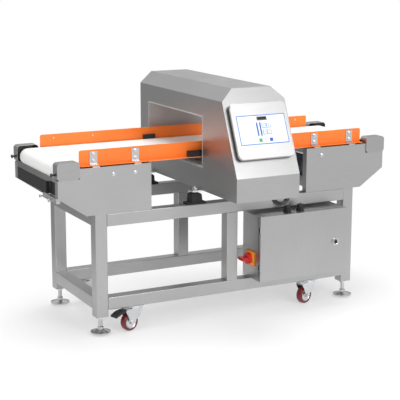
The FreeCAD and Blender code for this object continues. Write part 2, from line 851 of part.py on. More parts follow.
def end_panels():
    """A panel across each end below the belt, beside a short bracket at the operator's side.

    The infeed bracket also carries a clamp bar with two adjusting screws.
    """
    base = "frame_top + nose_rise"
    tall = "panel_top - frame_top - nose_rise"
    panel = box("end_panel", ("-conveyor_end + end_sheet", "frame_front + panel_inset", base),
                ("end_sheet", "frame_width - panel_inset - side_flange - loose_gap", tall))
    fold = box("end_panel_fold", ("-conveyor_end", "frame_front + panel_inset", base),
               ("side_flange / 2", "end_sheet", tall))
    bracket = box("end_bracket", ("-conveyor_end + side_flange / 2 + 1", "frame_front + side_flange + loose_gap", base),
                  ("2 * end_sheet", "panel_inset - side_flange - loose_gap", tall))
    folded = fused("folded_panel", [panel, fold])
    bar_x = "-conveyor_end + side_flange / 2 + 1 - clamp_bar_depth"
    bar_y = "frame_front + side_flange + loose_gap"
    bar_z = "frame_top + nose_rise - clamp_bar_height - 2 * end_sheet"
    bar = box("clamp_bar", (bar_x, bar_y, bar_z), ("clamp_bar_depth", "clamp_bar_length", "clamp_bar_height"))
    hanger = box("clamp_hanger", ("-conveyor_end + side_flange / 2 + 1", bar_y, bar_z),
                 ("2 * end_sheet", "panel_inset - side_flange - loose_gap", "clamp_bar_height + 2 * end_sheet"))
    pieces = [bar, hanger]
    for name, share in (("near", "0.2"), ("far", "0.85")):
        centre = (bar_y + " + %s * clamp_bar_length" % share, bar_z + " + clamp_bar_height / 2")
        pieces.append(rod("clamp_shank_" + name, (bar_x + " - clamp_screw_reach + 4", *centre), "clamp_screw",
                          "clamp_screw_reach", "X"))
        pieces.append(hexagon("clamp_head_" + name, (bar_x + " - clamp_screw_reach", *centre), "1.7 * clamp_screw",
                              "5", "X"))
    clamp = fused("clamp", pieces)
    node("end_clamp", clamp)
    node("end_panels", group("panels", left_and_right([folded, bracket])))


def tangent_points(first, second):
    """Return where a straight run leaves one wheel and meets the next.

    A wheel is (x, z, radius), with a negative radius where the run passes over its other side.
    """
    gap_x = second[0] - first[0]
    gap_z = second[1] - first[1]
    normal = math.atan2(gap_z, gap_x) + math.acos((second[2] - first[2]) / math.hypot(gap_x, gap_z))
    points = []
    for wheel in (first, second):
        points.append(Vector(wheel[0] - wheel[2] * math.cos(normal), 0, wheel[1] - wheel[2] * math.sin(normal)))
    return points


def wrapped_wire(wheels):
    """Return the closed line of a belt that runs round a list of wheels, anticlockwise."""
    count = len(wheels)
    runs = [tangent_points(wheels[index], wheels[(index + 1) % count]) for index in range(count)]
    edges = []
    for index, wheel in enumerate(wheels):
        centre = Vector(wheel[0], 0, wheel[1])
        arrive = runs[index - 1][1] - centre
        leave = runs[index][0] - centre
        turning = 1 if wheel[2] > 0 else -1
        start = math.atan2(arrive.z, arrive.x)
        sweep = (turning * (math.atan2(leave.z, leave.x) - start)) % (2 * math.pi)
        half_way = start + turning * sweep / 2
        middle = Vector(math.cos(half_way), 0, math.sin(half_way)) * abs(wheel[2])
        edges.append(Part.Arc(centre + arrive, centre + middle, centre + leave).toShape())
        edges.append(Part.LineSegment(*runs[index]).toShape())
    return Part.Wire(Part.__sortEdges__(edges))


def belt_shape(wheels, thickness, width):
    """Return a belt of a thickness and width whose inner face runs round the wheels."""
    outer = [(x, z, radius + thickness) for x, z, radius in wheels]
    faces = [Part.Face(wrapped_wire(path)) for path in (outer, wheels)]
    ring = faces[0].cut(faces[1])
    return ring.extrude(Vector(0, width, 0))


def conveyor_belt():
    """The belt: flat on the board, round both rollers, and lifted on its way back by the snub rollers.

    It leaves the tail roller late enough to clear it wherever the take-up stands.
    """
    end = value("roller_x")
    snub = value("snub_x")
    wrap = value("roller_diameter / 2 + loose_gap")
    snub_wrap = -value("snub_diameter / 2 + belt_thick")
    thickness = value("belt_thick - loose_gap")
    wheels = [
        (-end, value("roller_z"), wrap),
        (value("take_up") - end, value("roller_z"), wrap),
        (-snub, value("snub_z"), snub_wrap),
        (snub, value("snub_z"), snub_wrap),
        (end, value("roller_z"), wrap),
    ]
    shape = belt_shape(wheels, thickness, value("belt_width"))
    node("conveyor_belt", shape_feature("belt_loop", shape, ("0", "belt_line - belt_width / 2", "0")))


def roller(name, at, diameter, shaft, shaft_reach, extra=()):
    """A roller turned about its own axis, with journals at both ends."""
    owner = body(name, at)
    half = "roller_half"
    far_end = [(across, up) for across, up in extra]
    points = [
        ("0", "-(%s)" % shaft_reach), ("%s / 2" % shaft, "-(%s)" % shaft_reach), ("%s / 2" % shaft, "-" + half),
        ("%s / 2 - 1" % diameter, "-" + half), ("%s / 2" % diameter, "-%s + 1" % half),
        ("%s / 2" % diameter, "%s - 1" % half), ("%s / 2 - 1" % diameter, half), ("%s / 2" % shaft, half),
    ] + far_end + [("%s / 2" % shaft, shaft_reach), ("0", shaft_reach)]
    turned(owner, name + "_turned", outline(sketch(owner, name + "_profile", "XY"), points))
    return owner


def pulley_points(shaft):
    """The outline of a grooved pulley beside a roller's end, as radius and place along the shaft."""
    base = "pulley_y"
    rim = "pulley_diameter / 2"
    root = "pulley_diameter / 2 - groove_depth"
    return [
        ("%s / 2" % shaft, base), (rim, base), (rim, base + " + 1"),
        (root, base + " + pulley_width / 2 - 1.5"), (root, base + " + pulley_width / 2 + 1.5"),
        (rim, base + " + pulley_width - 1"), (rim, base + " + pulley_width"), ("%s / 2" % shaft, base + " + pulley_width"),
    ]


def rollers():
    reach = "shaft_reach"
    drive = roller("drive_roll", ("roller_x", "belt_line", "roller_z"), "roller_diameter", "shaft_diameter", reach,
                   pulley_points("shaft_diameter"))
    tail = roller("tail_roll", ("-roller_x", "belt_line", "roller_z"), "roller_diameter", "shaft_diameter", reach)
    node("drive_roller", drive)
    node("tail_roller", tail)
    snub_reach = "frame_width / 2 - side_plate_sheet - slide_gap"
    node("snub_roller_left", roller("snub_left", ("-snub_x", "belt_line", "snub_z"), "snub_diameter", "snub_shaft",
                                    snub_reach))
    node("snub_roller_right", roller("snub_right", ("snub_x", "belt_line", "snub_z"), "snub_diameter", "snub_shaft",
                                     snub_reach))


def bearing_block(name):
    """A block bored for a roller's journal, held between the cover's top and bottom."""
    owner = body(name, ("-roller_x", "belt_line - shaft_reach", "roller_z"))
    profile = rectangle(sketch(owner, name + "_outline", "XZ"), "roller_x - block_end", "block_base - roller_z",
                        "roller_x - block_end + block_length", "block_top - roller_z")
    circle(profile, "0", "0", "shaft_diameter + 2 * running_gap")
    solid = pad(owner, name + "_block", profile, "block_thick", reverse=True)
    rounded(owner, name + "_corners", solid, "cover_corner - cover_sheet",
            lambda middle, tangent: abs(tangent.y) > 0.999)
    return owner


def bearing_blocks():
    bolt_y = "belt_line - shaft_reach + block_thick / 2"
    head_x = "-cover_end - tension_reach"
    shank = rod("tension_shank", (head_x + " + 4", bolt_y, "roller_z"), "tension_bolt",
                "cover_end + tension_reach - 4 - block_end", "X")
    head = hexagon("tension_head", (head_x, bolt_y, "roller_z"), "1.6 * tension_bolt", "6", "X")
    bolt = fused("tension_bolt", [shank, head])
    tail = bearing_block("tail_block")
    node("tail_blocks", group("tail_side", front_and_back([tail, bolt])))
    drive = mirrored(bearing_block("drive_block_left"), "x", "0")
    node("drive_blocks", group("drive_side", front_and_back([drive])))


def slider_board():
    """The board that the belt slides on, with its end edges eased."""
    owner = body("board", ("-roller_x + board_inset", "belt_line - belt_width / 2 + roller_overhang", "board_base"))
    profile = rectangle(sketch(owner, "board_outline", "XZ"), "0", "0", "2 * (roller_x - board_inset)",
                        "board_thick")
    solid = pad(owner, "board_sheet", profile, "belt_width - 2 * roller_overhang", reverse=True)
    rounded(owner, "board_edges", solid, "board_thick / 3",
            lambda middle, tangent: abs(tangent.y) > 0.999 and middle.z > value("board_thick / 2"))
    node("slider_board", owner)


# ---------------------------------------------------------------- guide rails

def guide_rails():
    """Folded angle rails with rounded top corners, a foot turned outwards and a hole for the sensor's beam."""
    owner = body("guide_rail", ("0", "belt_line", "rail_base"))
    face = "-rail_face"
    profile = outline(sketch(owner, "rail_profile", "YZ"), [
        (face + " - rail_foot", "0"), ("-rail_gap / 2", "0"), ("-rail_gap / 2", "rail_height"),
        (face, "rail_height"), (face, "rail_sheet"), (face + " - rail_foot", "rail_sheet"),
    ])
    solid = pad(owner, "rail_angle", profile, "rail_length", middle=True)
    rounded(owner, "rail_ends", solid, "rail_corner",
            lambda middle, tangent: abs(tangent.y) > 0.999 and middle.z > value("rail_height - 1"))
    back = mirrored(owner, "y", "belt_line")
    beam = rod("beam_hole", ("-sensor_place", "belt_line - rail_face - 1", "belt_top + beam_height"), "beam_hole",
               "rail_sheet + 2", "Y")
    node("guide_rails", group("both_rails", [cut("front_rail", owner, beam), back]))


def rail_bracket(name, place_x):
    """An angle bracket on the outside of a rail, standing on the rail's foot."""
    owner = body(name, (place_x, "belt_line", "rail_base + rail_sheet"))
    face = "-rail_face"
    profile = outline(sketch(owner, name + "_profile", "YZ"), [
        (face + " - 0.7 * rail_foot", "0"), (face, "0"), (face, "bracket_height"),
        (face + " - bracket_sheet", "bracket_height"), (face + " - bracket_sheet", "bracket_sheet"),
        (face + " - 0.7 * rail_foot", "bracket_sheet"),
    ])
    pad(owner, name + "_angle", profile, "bracket_width", middle=True)
    return owner


def rail_supports():
    """Eight rail brackets, and the four flat bars that carry the rails and the board."""
    supports = []
    for name, place_x in (("near", "-bracket_near"), ("far", "-bracket_far")):
        supports.append(rail_bracket("bracket_" + name, place_x))
    bars = []
    for name, place_x in (("near", "-bracket_near"), ("far", "-bracket_far")):
        bars.append(box("bar_" + name, (place_x + " - bar_width / 2", "frame_front + 2 * side_plate_sheet",
                                        "side_plate_top"),
                        ("bar_width", "frame_width - 4 * side_plate_sheet", "bar_thick")))
    node("rail_supports", group("brackets_and_bars", four_corners(supports) + left_and_right(bars)))


def photo_sensor():
    """A light sensor on a metal seat outside the front rail, and its reflector inside the rear rail."""
    seat_z = "rail_base + rail_sheet"
    sensor = box("sensor_case", ("-sensor_place - sensor_length / 2", "belt_line - rail_face - sensor_depth", seat_z),
                 ("sensor_length", "sensor_depth", "sensor_height"))
    lid = box("sensor_seat", ("-sensor_place - sensor_length / 2 + seat_inset",
                              "belt_line - rail_face - sensor_depth + seat_inset / 2", seat_z + " + sensor_height"),
              ("sensor_length - 2 * seat_inset", "sensor_depth - seat_inset", "seat_thick"))
    reflector = box("reflector", ("-sensor_place - reflector_length / 2", "belt_line + rail_gap / 2 - reflector_depth",
                                  "belt_top + cover_gap"),
                    ("reflector_length", "reflector_depth", "reflector_height"))
    node("photo_sensor", group("sensor_parts", [sensor, lid, reflector]))


# ---------------------------------------------------------------- drive

def gear_motor():
    """A finned motor on a gearbox that stands on the outfeed cross rail and turns the pulley."""
    motor_end = "belt_line + pulley_y - 12 - gearbox_length"
    owner = body("motor", ("motor_x", motor_end + " - motor_length", "motor_z"))
    fin = "motor_length / 12"
    points = [("0", "0"), ("motor_diameter / 2 - 6", "0"), ("motor_diameter / 2", "6")]
    for index in range(4):
        low = "(%d) * %s" % (3 + 2 * index, fin)
        high = "(%d) * %s" % (4 + 2 * index, fin)
        points += [("motor_diameter / 2", low), ("motor_diameter / 2 - 5", low),
                   ("motor_diameter / 2 - 5", high), ("motor_diameter / 2", high)]
    points += [("motor_diameter / 2", "motor_length"), ("0", "motor_length")]
    turned(owner, "motor_turned", outline(sketch(owner, "motor_profile", "XY"), points))
    gearbox = body("gearbox", ("motor_x - gearbox_size / 2", motor_end, "motor_z - gearbox_size / 2"))
    profile = rectangle(sketch(gearbox, "gearbox_outline", "XZ"), "0", "0", "gearbox_size", "gearbox_size")
    solid = pad(gearbox, "gearbox_block", profile, "gearbox_length", reverse=True)
    rounded(gearbox, "gearbox_corners", solid, "10", along("Y"))
    boss = rod("gearbox_boss", ("motor_x", motor_end + " + gearbox_length", "motor_z"), "gearbox_size / 2", "6", "Y")
    foot_height = "motor_z - gearbox_size / 2 - frame_top"
    stand_block = box("gearbox_stand", ("motor_x - gearbox_size / 2 - 8", motor_end + " + 8", "frame_top"),
                      ("gearbox_size + 2", "gearbox_length - 16", foot_height + " + 1"))
    node("gear_motor", fused("motor_and_box", [owner, gearbox, boss, stand_block]))
    pulley = body("pulley", ("motor_x", "belt_line", "motor_z"))
    profile = outline(sketch(pulley, "pulley_profile", "XY"),
                      [("0", "pulley_y - 5"), ("motor_shaft / 2", "pulley_y - 5")] + pulley_points("motor_shaft")
                      + [("motor_shaft / 2", "pulley_y + pulley_width + 3"), ("0", "pulley_y + pulley_width + 3")])
    turned(pulley, "pulley_turned", profile)
    node("motor_pulley", pulley)


def drive_belt():
    """The round-backed belt that runs in both pulleys' grooves."""
    wrap = value("pulley_diameter / 2 - groove_depth + loose_gap")
    wheels = [
        (value("motor_x"), value("motor_z"), wrap),
        (value("roller_x"), value("roller_z"), wrap),
    ]
    thickness = value("groove_depth - 2 * loose_gap")
    shape = belt_shape(wheels, thickness, value("drive_belt_width"))
    at = ("0", "belt_line + pulley_y + pulley_width / 2 - drive_belt_width / 2", "0")
    node("drive_belt", shape_feature("drive_loop", shape, at))


# ---------------------------------------------------------------- detector head

def head_case():
    """A folded case: upright belly, sloped front, chamfered top edges, and a tunnel right through it."""
    owner = body("case", ("head_left", "belt_line", "0"))
    side = outline(sketch(owner, "case_side", "YZ"), [
        ("-head_front_reach", "head_base"), ("head_rear_reach", "head_base"), ("head_rear_reach", "head_top"),
        ("-head_front_reach + face_setback", "head_top"), ("-head_front_reach", "head_fold"),
    ])
    pad(owner, "case_block", side, "head_length")
    corner = sketch(owner, "case_shoulders", "XZ", "head_front_reach + 1")
    outline(corner, [("-1", "head_top - top_chamfer_rise - top_chamfer_rise / top_chamfer_run"),
                     ("top_chamfer_run", "head_top"), ("top_chamfer_run", "head_top + 5"), ("-1", "head_top + 5")])
    outline(corner, [("head_length + 1", "head_top - top_chamfer_rise - top_chamfer_rise / top_chamfer_run"),
                     ("head_length + 1", "head_top + 5"), ("head_length - top_chamfer_run", "head_top + 5"),
                     ("head_length - top_chamfer_run", "head_top")])
    shoulders = pocket(owner, "case_chamfers", corner, "head_front_reach + head_rear_reach + 2")
    hollowed(owner, "case_shell", shoulders, "head_sheet", Vector(0, 0, -1))
    floor = rectangle(sketch(owner, "case_floor_outline", "XY", "head_base"),
                      "head_sheet", "-head_front_reach + head_sheet", "head_length - head_sheet",
                      "head_rear_reach - head_sheet")
    closed = pad(owner, "case_floor", floor, "head_sheet")
    mouth = rectangle(sketch(owner, "tunnel_outline", "YZ", "-1"),
                      "-tunnel_width / 2 - liner_wall", "tunnel_floor - liner_wall",
                      "tunnel_width / 2 + liner_wall", "tunnel_floor + tunnel_height + liner_wall")
    pocket(owner, "case_tunnel", mouth, "head_length + 2", reverse=True)
    node("head_case", owner)


def tunnel_liner():
    """The plastic sleeve that lines the tunnel and closes the case round it."""
    owner = body("liner", ("head_left", "belt_line", "0"))
    wall = "liner_wall"
    outside = rectangle(sketch(owner, "liner_outside", "YZ"), "-tunnel_width / 2 - " + wall, "tunnel_floor - " + wall,
                        "tunnel_width / 2 + " + wall, "tunnel_floor + tunnel_height + " + wall)
    pad(owner, "liner_block", outside, "head_length")
    inside = rectangle(sketch(owner, "liner_inside", "YZ"), "-tunnel_width / 2", "tunnel_floor",
                       "tunnel_width / 2", "tunnel_floor + tunnel_height")
    bore = pocket(owner, "liner_bore", inside, "head_length", reverse=True)
    rounded(owner, "liner_corners", bore, "tunnel_corner",
            lambda middle, tangent: abs(tangent.x) > 0.999 and abs(middle.y) < value("tunnel_width / 2 + 1"))
    node("tunnel_liner", owner)


def search_coils():
    """One transmitter coil between two receiver coils, each wound round the liner."""
    coils = []
    for index in (-1, 0, 1):
        name = "coil_%d" % (index + 1)
        owner = body(name, ("head_shift + %d * coil_pitch - coil_width / 2" % index, "belt_line", "0"))
        near = "liner_wall + 2"
        far = "liner_wall + 2 + coil_thick"
        ring = sketch(owner, name + "_ring", "YZ")
        for reach in (near, far):
            rectangle(ring, "-tunnel_width / 2 - (%s)" % reach, "tunnel_floor - (%s)" % reach,
                      "tunnel_width / 2 + (%s)" % reach, "tunnel_floor + tunnel_height + (%s)" % reach)
        pad(owner, name + "_winding", ring, "coil_width")
        coils.append(owner)
    node("search_coils", group("coils", coils))


def head_mounts():
    """Rubber blocks on the stand's top rails, and the ears and studs that hold the head on them."""
    centre_x = "head_shift - mount_x"
    centre_y = "belt_line - leg_line_y"
    mount = body("mount", (centre_x, centre_y, "frame_top"))
    base = rectangle(sketch(mount, "mount_base_outline", "XY"), "-mount_length / 2", "-tube_size / 2 + 2",
                     "mount_length / 2", "tube_size / 2 - 2")
    flange = pad(mount, "mount_base", base, "mount_flange")
    rounded(mount, "mount_base_corners", flange, "8", along("Z"))
    block = outline(sketch(mount, "mount_block_outline", "XZ"), [
        ("-mount_body / 2 - 3", "mount_flange - 1"), ("mount_body / 2 + 3", "mount_flange - 1"),
        ("mount_body / 2", "mount_height - 6"), ("mount_body / 2 - 6", "mount_height"),
        ("-mount_body / 2 + 6", "mount_height"), ("-mount_body / 2", "mount_height - 6"),
    ])
    pad(mount, "mount_block", block, "mount_body - 2", middle=True)
    node("vibration_mounts", group("mounts", four_corners([mount], "head_shift")))
    ear_z = "head_base - ear_thick"
    ear = box("ear_bar", (centre_x + " - ear_width / 2", centre_y + " - ear_width / 2", ear_z),
              ("mount_reach + ear_width", "ear_width", "ear_thick"))
    ear_hole = rod("ear_hole", (centre_x, centre_y, ear_z + " - 1"), "stud_diameter", "ear_thick + 2")
    drilled = cut("ear", ear, ear_hole)
    stud = rod("stud_shank", (centre_x, centre_y, "mount_top"), "stud_diameter", "head_base - mount_top + nut_height + 5")
    top_nut = hexagon("top_nut", (centre_x, centre_y, "head_base"), "nut_width", "nut_height")
    low_nut = hexagon("low_nut", (centre_x, centre_y, "mount_top"), "nut_width", "head_base - ear_thick - mount_top")
    washer = rod("stud_washer", (centre_x, centre_y, "head_base"), "1.3 * nut_width", "1.5")
    bolt = fused("stud", [stud, top_nut, low_nut, washer])
    node("head_ears", group("ears", four_corners([drilled, bolt], "head_shift")))


def cable_loop():
    """A short conduit that leaves the belly by one gland and comes back in by another."""
    radius = value("loop_diameter / 2")
    half = value("loop_span / 2")
    drop = value("loop_drop")
    top = Vector(-half, 0, 0)
    low = Vector(-half, 0, -(drop - half))
    bottom = Vector(0, 0, -drop)
    path = Part.Wire([
        Part.LineSegment(top, low).toShape(),
        Part.Arc(low, bottom, Vector(half, 0, low.z)).toShape(),
        Part.LineSegment(Vector(half, 0, low.z), Vector(half, 0, 0)).toShape(),
    ])
    section = Part.Wire([Part.Circle(top, Vector(0, 0, 1), radius).toShape()])
    hose = path.makePipeShell([section], True, False)
    at = ("loop_place", "head_front + loop_setback", "head_base")
    loop = shape_feature("conduit", hose, at)
    glands = []
    for name, side in (("left", "-"), ("right", "+")):
        gland_at = ("loop_place %s loop_span / 2" % side, at[1], "head_base - 12")
        nut = hexagon("belly_nut_" + name, gland_at, "gland_width", "12")
        hole = rod("belly_hole_" + name, gland_at, "loop_diameter", "12")
        glands.append(cut("belly_gland_" + name, nut, hole))
    node("cable_loop", group("loop_parts", [loop] + glands))


# ---------------------------------------------------------------- control unit

DERIVED["panel_y"] = "head_front + panel_up * sin(face_tilt)"
DERIVED["panel_z"] = "head_fold + panel_up * cos(face_tilt)"
FACE_TURN = Rotation(Vector(1, 0, 0), 90 - value("face_tilt"))
KEYS = {
    "key_up": ("key_column_one", "key_row_high"),
    "key_plus": ("key_column_two", "key_row_high"),
    "key_down": ("key_column_one", "key_row_middle"),
    "key_minus": ("key_column_two", "key_row_middle"),
    "key_start": ("start_key_place", "key_row_low"),
    "key_menu": ("menu_key_place", "key_row_low"),
}


def on_face(item):
    """Set an object at the middle of the control unit, with its Z square to the sloped front."""
    item.setExpression("Placement.Rotation.Angle", formula("90 deg - face_tilt"))
    return item


def face_body(name):
    owner = body(name, ("head_shift", "panel_y", "panel_z"), FACE_TURN)
    return on_face(owner)


def key_holes(profile):
    for across, up in KEYS.values():
        half = "(key_size / 2 + key_gap)"
        rectangle(profile, "%s - %s" % (across, half), "%s - panel_up - %s" % (up, half),
                  "%s + %s" % (across, half), "%s - panel_up + %s" % (up, half))
    return profile


def control_unit():
    base = face_body("panel_base")
    inset = "(panel_width / 2 - base_inset)"
    tall = "(panel_height / 2 - base_inset)"
    profile = rectangle(sketch(base, "base_outline", "XY"), "-" + inset, "-" + tall, inset, tall)
    solid = pad(base, "base_block", profile, "base_thick")
    rounded(base, "base_corners", solid, "panel_corner - base_inset", along("Z"))
    node("control_base", base)

    cover = face_body("panel_cover")
    profile = rectangle(sketch(cover, "cover_outline", "XY", "base_thick"), "-panel_width / 2", "-panel_height / 2",
                        "panel_width / 2", "panel_height / 2")
    solid = pad(cover, "cover_block", profile, "panel_thick")
    corners = rounded(cover, "cover_corners", solid, "panel_corner", along("Z"))
    edge = cover.newObject("PartDesign::Chamfer", "cover_edge")
    top = max(range(len(corners.Shape.Faces)), key=lambda index: corners.Shape.Faces[index].CenterOfMass.z)
    edge.Base = (corners, ["Face%d" % (top + 1)])
    edge.setExpression("Size", formula("panel_edge"))
    doc.recompute()
    shell = cover.newObject("PartDesign::Thickness", "cover_shell")
    back = min(range(len(edge.Shape.Faces)), key=lambda index: edge.Shape.Faces[index].CenterOfMass.z)
    shell.Base = (edge, ["Face%d" % (back + 1)])
    shell.setExpression("Value", formula("panel_sheet"))
    shell.Mode = "Skin"
    shell.Join = "Intersection"
    shell.Reversed = True
    doc.recompute()
    holes = key_holes(sketch(cover, "cover_key_outline", "XY", "panel_front + 1"))
    pocket(cover, "cover_key_holes", holes, "panel_sheet + 2")
    node("control_cover", cover)

    overlay = face_body("overlay_foil")
    middle = "(overlay_up - panel_up)"
    foil = rectangle(sketch(overlay, "overlay_outline", "XY", "panel_front"), "-overlay_width / 2",
                     middle + " - overlay_height / 2", "overlay_width / 2", middle + " + overlay_height / 2")
    key_holes(foil)
    pad(overlay, "overlay_sheet", foil, "overlay_thick")
    screen = face_body("indicator_blocks")
    marks = sketch(screen, "indicator_outline", "XY", "panel_front + overlay_thick")
    rectangle(marks, "display_place - display_width / 2", "display_up - panel_up - display_height / 2",
              "display_place + display_width / 2", "display_up - panel_up + display_height / 2")
    screen.AllowCompound = True
    for across in ("bar_graph_one", "bar_graph_two"):
        rectangle(marks, across + " - bar_graph_width / 2", "bar_graph_up - panel_up - bar_graph_length / 2",
                  across + " + bar_graph_width / 2", "bar_graph_up - panel_up + bar_graph_length / 2")
    circle(marks, "lamp_place", "lamp_up - panel_up", "lamp_diameter")
    pad(screen, "indicators_raised", marks, "overlay_thick")
    node("control_overlay", group("overlay_parts", [overlay, screen]))

    for name, (across, up) in KEYS.items():
        key = face_body(name + "_cap")
        profile = rectangle(sketch(key, name + "_outline", "XY", "panel_front + key_proud - key_depth"),
                            across + " - key_size / 2", up + " - panel_up - key_size / 2",
                            across + " + key_size / 2", up + " - panel_up + key_size / 2")
        solid = pad(key, name + "_block", profile, "key_depth")
        rounded(key, name + "_corners", solid, "1.5", along("Z"))
        node(name, key)


# ---------------------------------------------------------------- power cabinet

def cabinet_box():
    """A welded box, open at the front inside a narrow rim, drilled for the switch shaft."""
    owner = body("cabinet", ("cabinet_left", "box_front", "cabinet_base"))
    profile = rectangle(sketch(owner, "cabinet_outline", "XZ"), "0", "0", "cabinet_width", "cabinet_height")
    solid = pad(owner, "cabinet_block", profile, "cabinet_back - box_front", reverse=True)
    shell = hollowed(owner, "cabinet_shell", solid, "cabinet_sheet", Vector(0, -1, 0))
    rim = sketch(owner, "cabinet_rim_outline", "XZ")
    rectangle(rim, "cabinet_sheet", "cabinet_sheet", "cabinet_width - cabinet_sheet", "cabinet_height - cabinet_sheet")
    rectangle(rim, "cabinet_rim", "cabinet_rim", "cabinet_width - cabinet_rim", "cabinet_height - cabinet_rim")
    pad(owner, "cabinet_rim", rim, "cabinet_sheet", reverse=True)
    node("cabinet_box", owner)


def hinge_heights():
    return (("low", "cabinet_base + hinge_inset"), ("high", "cabinet_top - hinge_inset - hinge_height"))


def cabinet_door():
    """A pan door with a bored lock seat, two hinge barrels inside it and windows for the fixed ears."""
    owner = body("door", ("cabinet_left", "cabinet_front", "cabinet_base"))
    profile = rectangle(sketch(owner, "door_outline", "XZ"), "0", "0", "cabinet_width", "cabinet_height")
    solid = pad(owner, "door_block", profile, "door_depth", reverse=True)
    hollowed(owner, "door_pan", solid, "cabinet_sheet", Vector(0, 1, 0))
    lock = circle(sketch(owner, "lock_outline", "XZ", "1"), "cabinet_width - lock_inset", "cabinet_height / 2 - 5",
                  "lock_bore + 2 * running_gap")
    pocket(owner, "lock_seat", lock, "cabinet_sheet + 2")
    windows = sketch(owner, "window_outline", "YZ", "-1")
    for name, height in hinge_heights():
        rectangle(windows, "cabinet_sheet", height + " - cabinet_base - 5",
                  "door_depth + 1", height + " - cabinet_base + hinge_height + 5")
    pocket(owner, "hinge_windows", windows, "cabinet_sheet + 2", reverse=True)
    barrels = []
    for name, height in hinge_heights():
        barrel = rod("barrel_" + name, ("hinge_x", "hinge_y", height), "2 * hinge_radius", "hinge_height")
        leaf = box("leaf_" + name, ("hinge_x - 1", "cabinet_front + cabinet_sheet - 0.5", height),
                   ("3", "hinge_y - cabinet_front - cabinet_sheet", "hinge_height"))
        whole = fused("knuckle_" + name, [barrel, leaf])
        bore = rod("knuckle_bore_" + name, ("hinge_x", "hinge_y", height), "hinge_pin + 2 * running_gap",
                   "hinge_height")
        barrels.append(cut("hinge_knuckle_" + name, whole, bore))
    node("cabinet_door", fused("door_with_knuckles", [owner] + barrels))


def door_hinges():
    """Fixed ears on the cabinet's rim above and below each knuckle, with a pin through them."""
    hinges = []
    for name, height in hinge_heights():
        pin = rod("pin_" + name, ("hinge_x", "hinge_y", height + " - 3.5"), "hinge_pin", "hinge_height + 7")
        pieces = [pin]
        for end, lift in (("under", " - 3.5"), ("over", " + hinge_height + 0.5")):
            ear = box("ear_%s_%s" % (end, name), ("hinge_x - hinge_radius", "hinge_y - hinge_radius", height + lift),
                      ("2 * hinge_radius", "box_front - hinge_y + hinge_radius", "3"))
            pieces.append(ear)
        hinges.append(fused("hinge_" + name, pieces))
    node("door_hinges", group("hinges", hinges))


def cabinet_lock():
    """A quarter-turn lock: bezel outside, barrel through the door, cam inside."""
    at_x = "cabinet_right - lock_inset"
    at_z = "cabinet_base + cabinet_height / 2 - 5"
    bezel = rod("lock_bezel", (at_x, "cabinet_front - lock_proud", at_z), "lock_diameter", "lock_proud", "Y")
    recess = rod("lock_recess", (at_x, "cabinet_front - lock_proud - 1", at_z), "lock_diameter * 0.6",
                 "lock_proud", "Y")
    key_bar = box("lock_key", (at_x + " - lock_diameter * 0.26", "cabinet_front - lock_proud + 0.5", at_z + " - 2"),
                  ("lock_diameter * 0.52", "lock_proud - 1", "4"))
    barrel = rod("lock_barrel", (at_x, "cabinet_front", at_z), "lock_bore", "box_front - cabinet_front + 4", "Y")
    cam = box("lock_cam", (at_x + " - cam_width / 2", "box_front + cabinet_sheet + 1.5", at_z + " - cam_width / 2"),
              ("cam_width", "cam_thick", "cam_length"))
    dished = cut("lock_dish", bezel, recess)
    node("cabinet_lock", fused("quarter_turn_lock", [dished, key_bar, barrel, cam]))


def main_switch():
    """A square plate on the cabinet's side wall with a round handle and its raised grip."""
    at_y = "cabinet_front + switch_back"
    half = "switch_plate_size / 2"
    plate = body("switch_base", ("cabinet_left", at_y, "switch_height"))
    outline_sketch = rectangle(sketch(plate, "switch_plate_outline", "YZ"), "-" + half, "-" + half, half, half)
    circle(outline_sketch, "0", "0", "switch_disc - 20 + 2 * running_gap")
    solid = pad(plate, "switch_plate_block", outline_sketch, "switch_plate_thick", reverse=True)
    rounded(plate, "switch_plate_corners", solid, "4", along("X"))
    node("switch_plate", plate)
    stem_start = "cabinet_left - switch_plate_thick"
    face = "cabinet_left - switch_plate_thick - loose_gap - switch_disc_thick"
    stem = rod("switch_stem", ("cabinet_left - switch_plate_thick - loose_gap", at_y, "switch_height"),
               "switch_disc - 20", "switch_plate_thick", "X")
    disc = rod("switch_disc_block", (face, at_y, "switch_height"), "switch_disc", "switch_disc_thick", "X")
    grip = body("switch_grip", (face, at_y, "switch_height"))
    profile = rectangle(sketch(grip, "grip_outline", "YZ", "1"), "-switch_grip_length / 2", "-switch_grip_width / 2",
                        "switch_grip_length / 2", "switch_grip_width / 2")
    solid = pad(grip, "grip_block", profile, "switch_grip_proud", reverse=True)
    rounded(grip, "grip_corners", solid, "switch_grip_width / 2.5", along("X"))
    node("switch_handle", fused("handle", [stem, disc, grip]))


def cable_glands():
    """Two black glands in the cabinet's top."""
    glands = []
    for name, place_x in (("one", "gland_one"), ("two", "gland_two")):
        at_y = "cabinet_front + cabinet_depth * 0.28"
        nut = hexagon("gland_nut_" + name, (place_x, at_y, "cabinet_top"), "cabinet_gland_width",
                      "cabinet_gland_height * 0.45")
        dome = rod("gland_dome_" + name, (place_x, at_y, "cabinet_top"), "cabinet_gland_dome", "cabinet_gland_height")
        whole = fused("gland_body_" + name, [nut, dome])
        hole = rod("gland_hole_" + name, (place_x, at_y, "cabinet_top + 4"), "cabinet_gland_dome / 2",
                   "cabinet_gland_height")
        glands.append(cut("gland_" + name, whole, hole))
    node("cable_glands", group("glands", glands))


# Devices on the mounting plate: place and size as shares of the plate, and depth as a share of the deepest.
DEVICES = {
    "power_supply": (0.05, 0.50, 0.18, 0.42, 0.80),
    "speed_drive": (0.26, 0.44, 0.22, 0.48, 1.00),
    "relay_row": (0.51, 0.56, 0.28, 0.30, 0.60),
    "breaker": (0.82, 0.54, 0.13, 0.36, 0.80),
    "terminal_strip": (0.05, 0.10, 0.88, 0.18, 0.45),
}


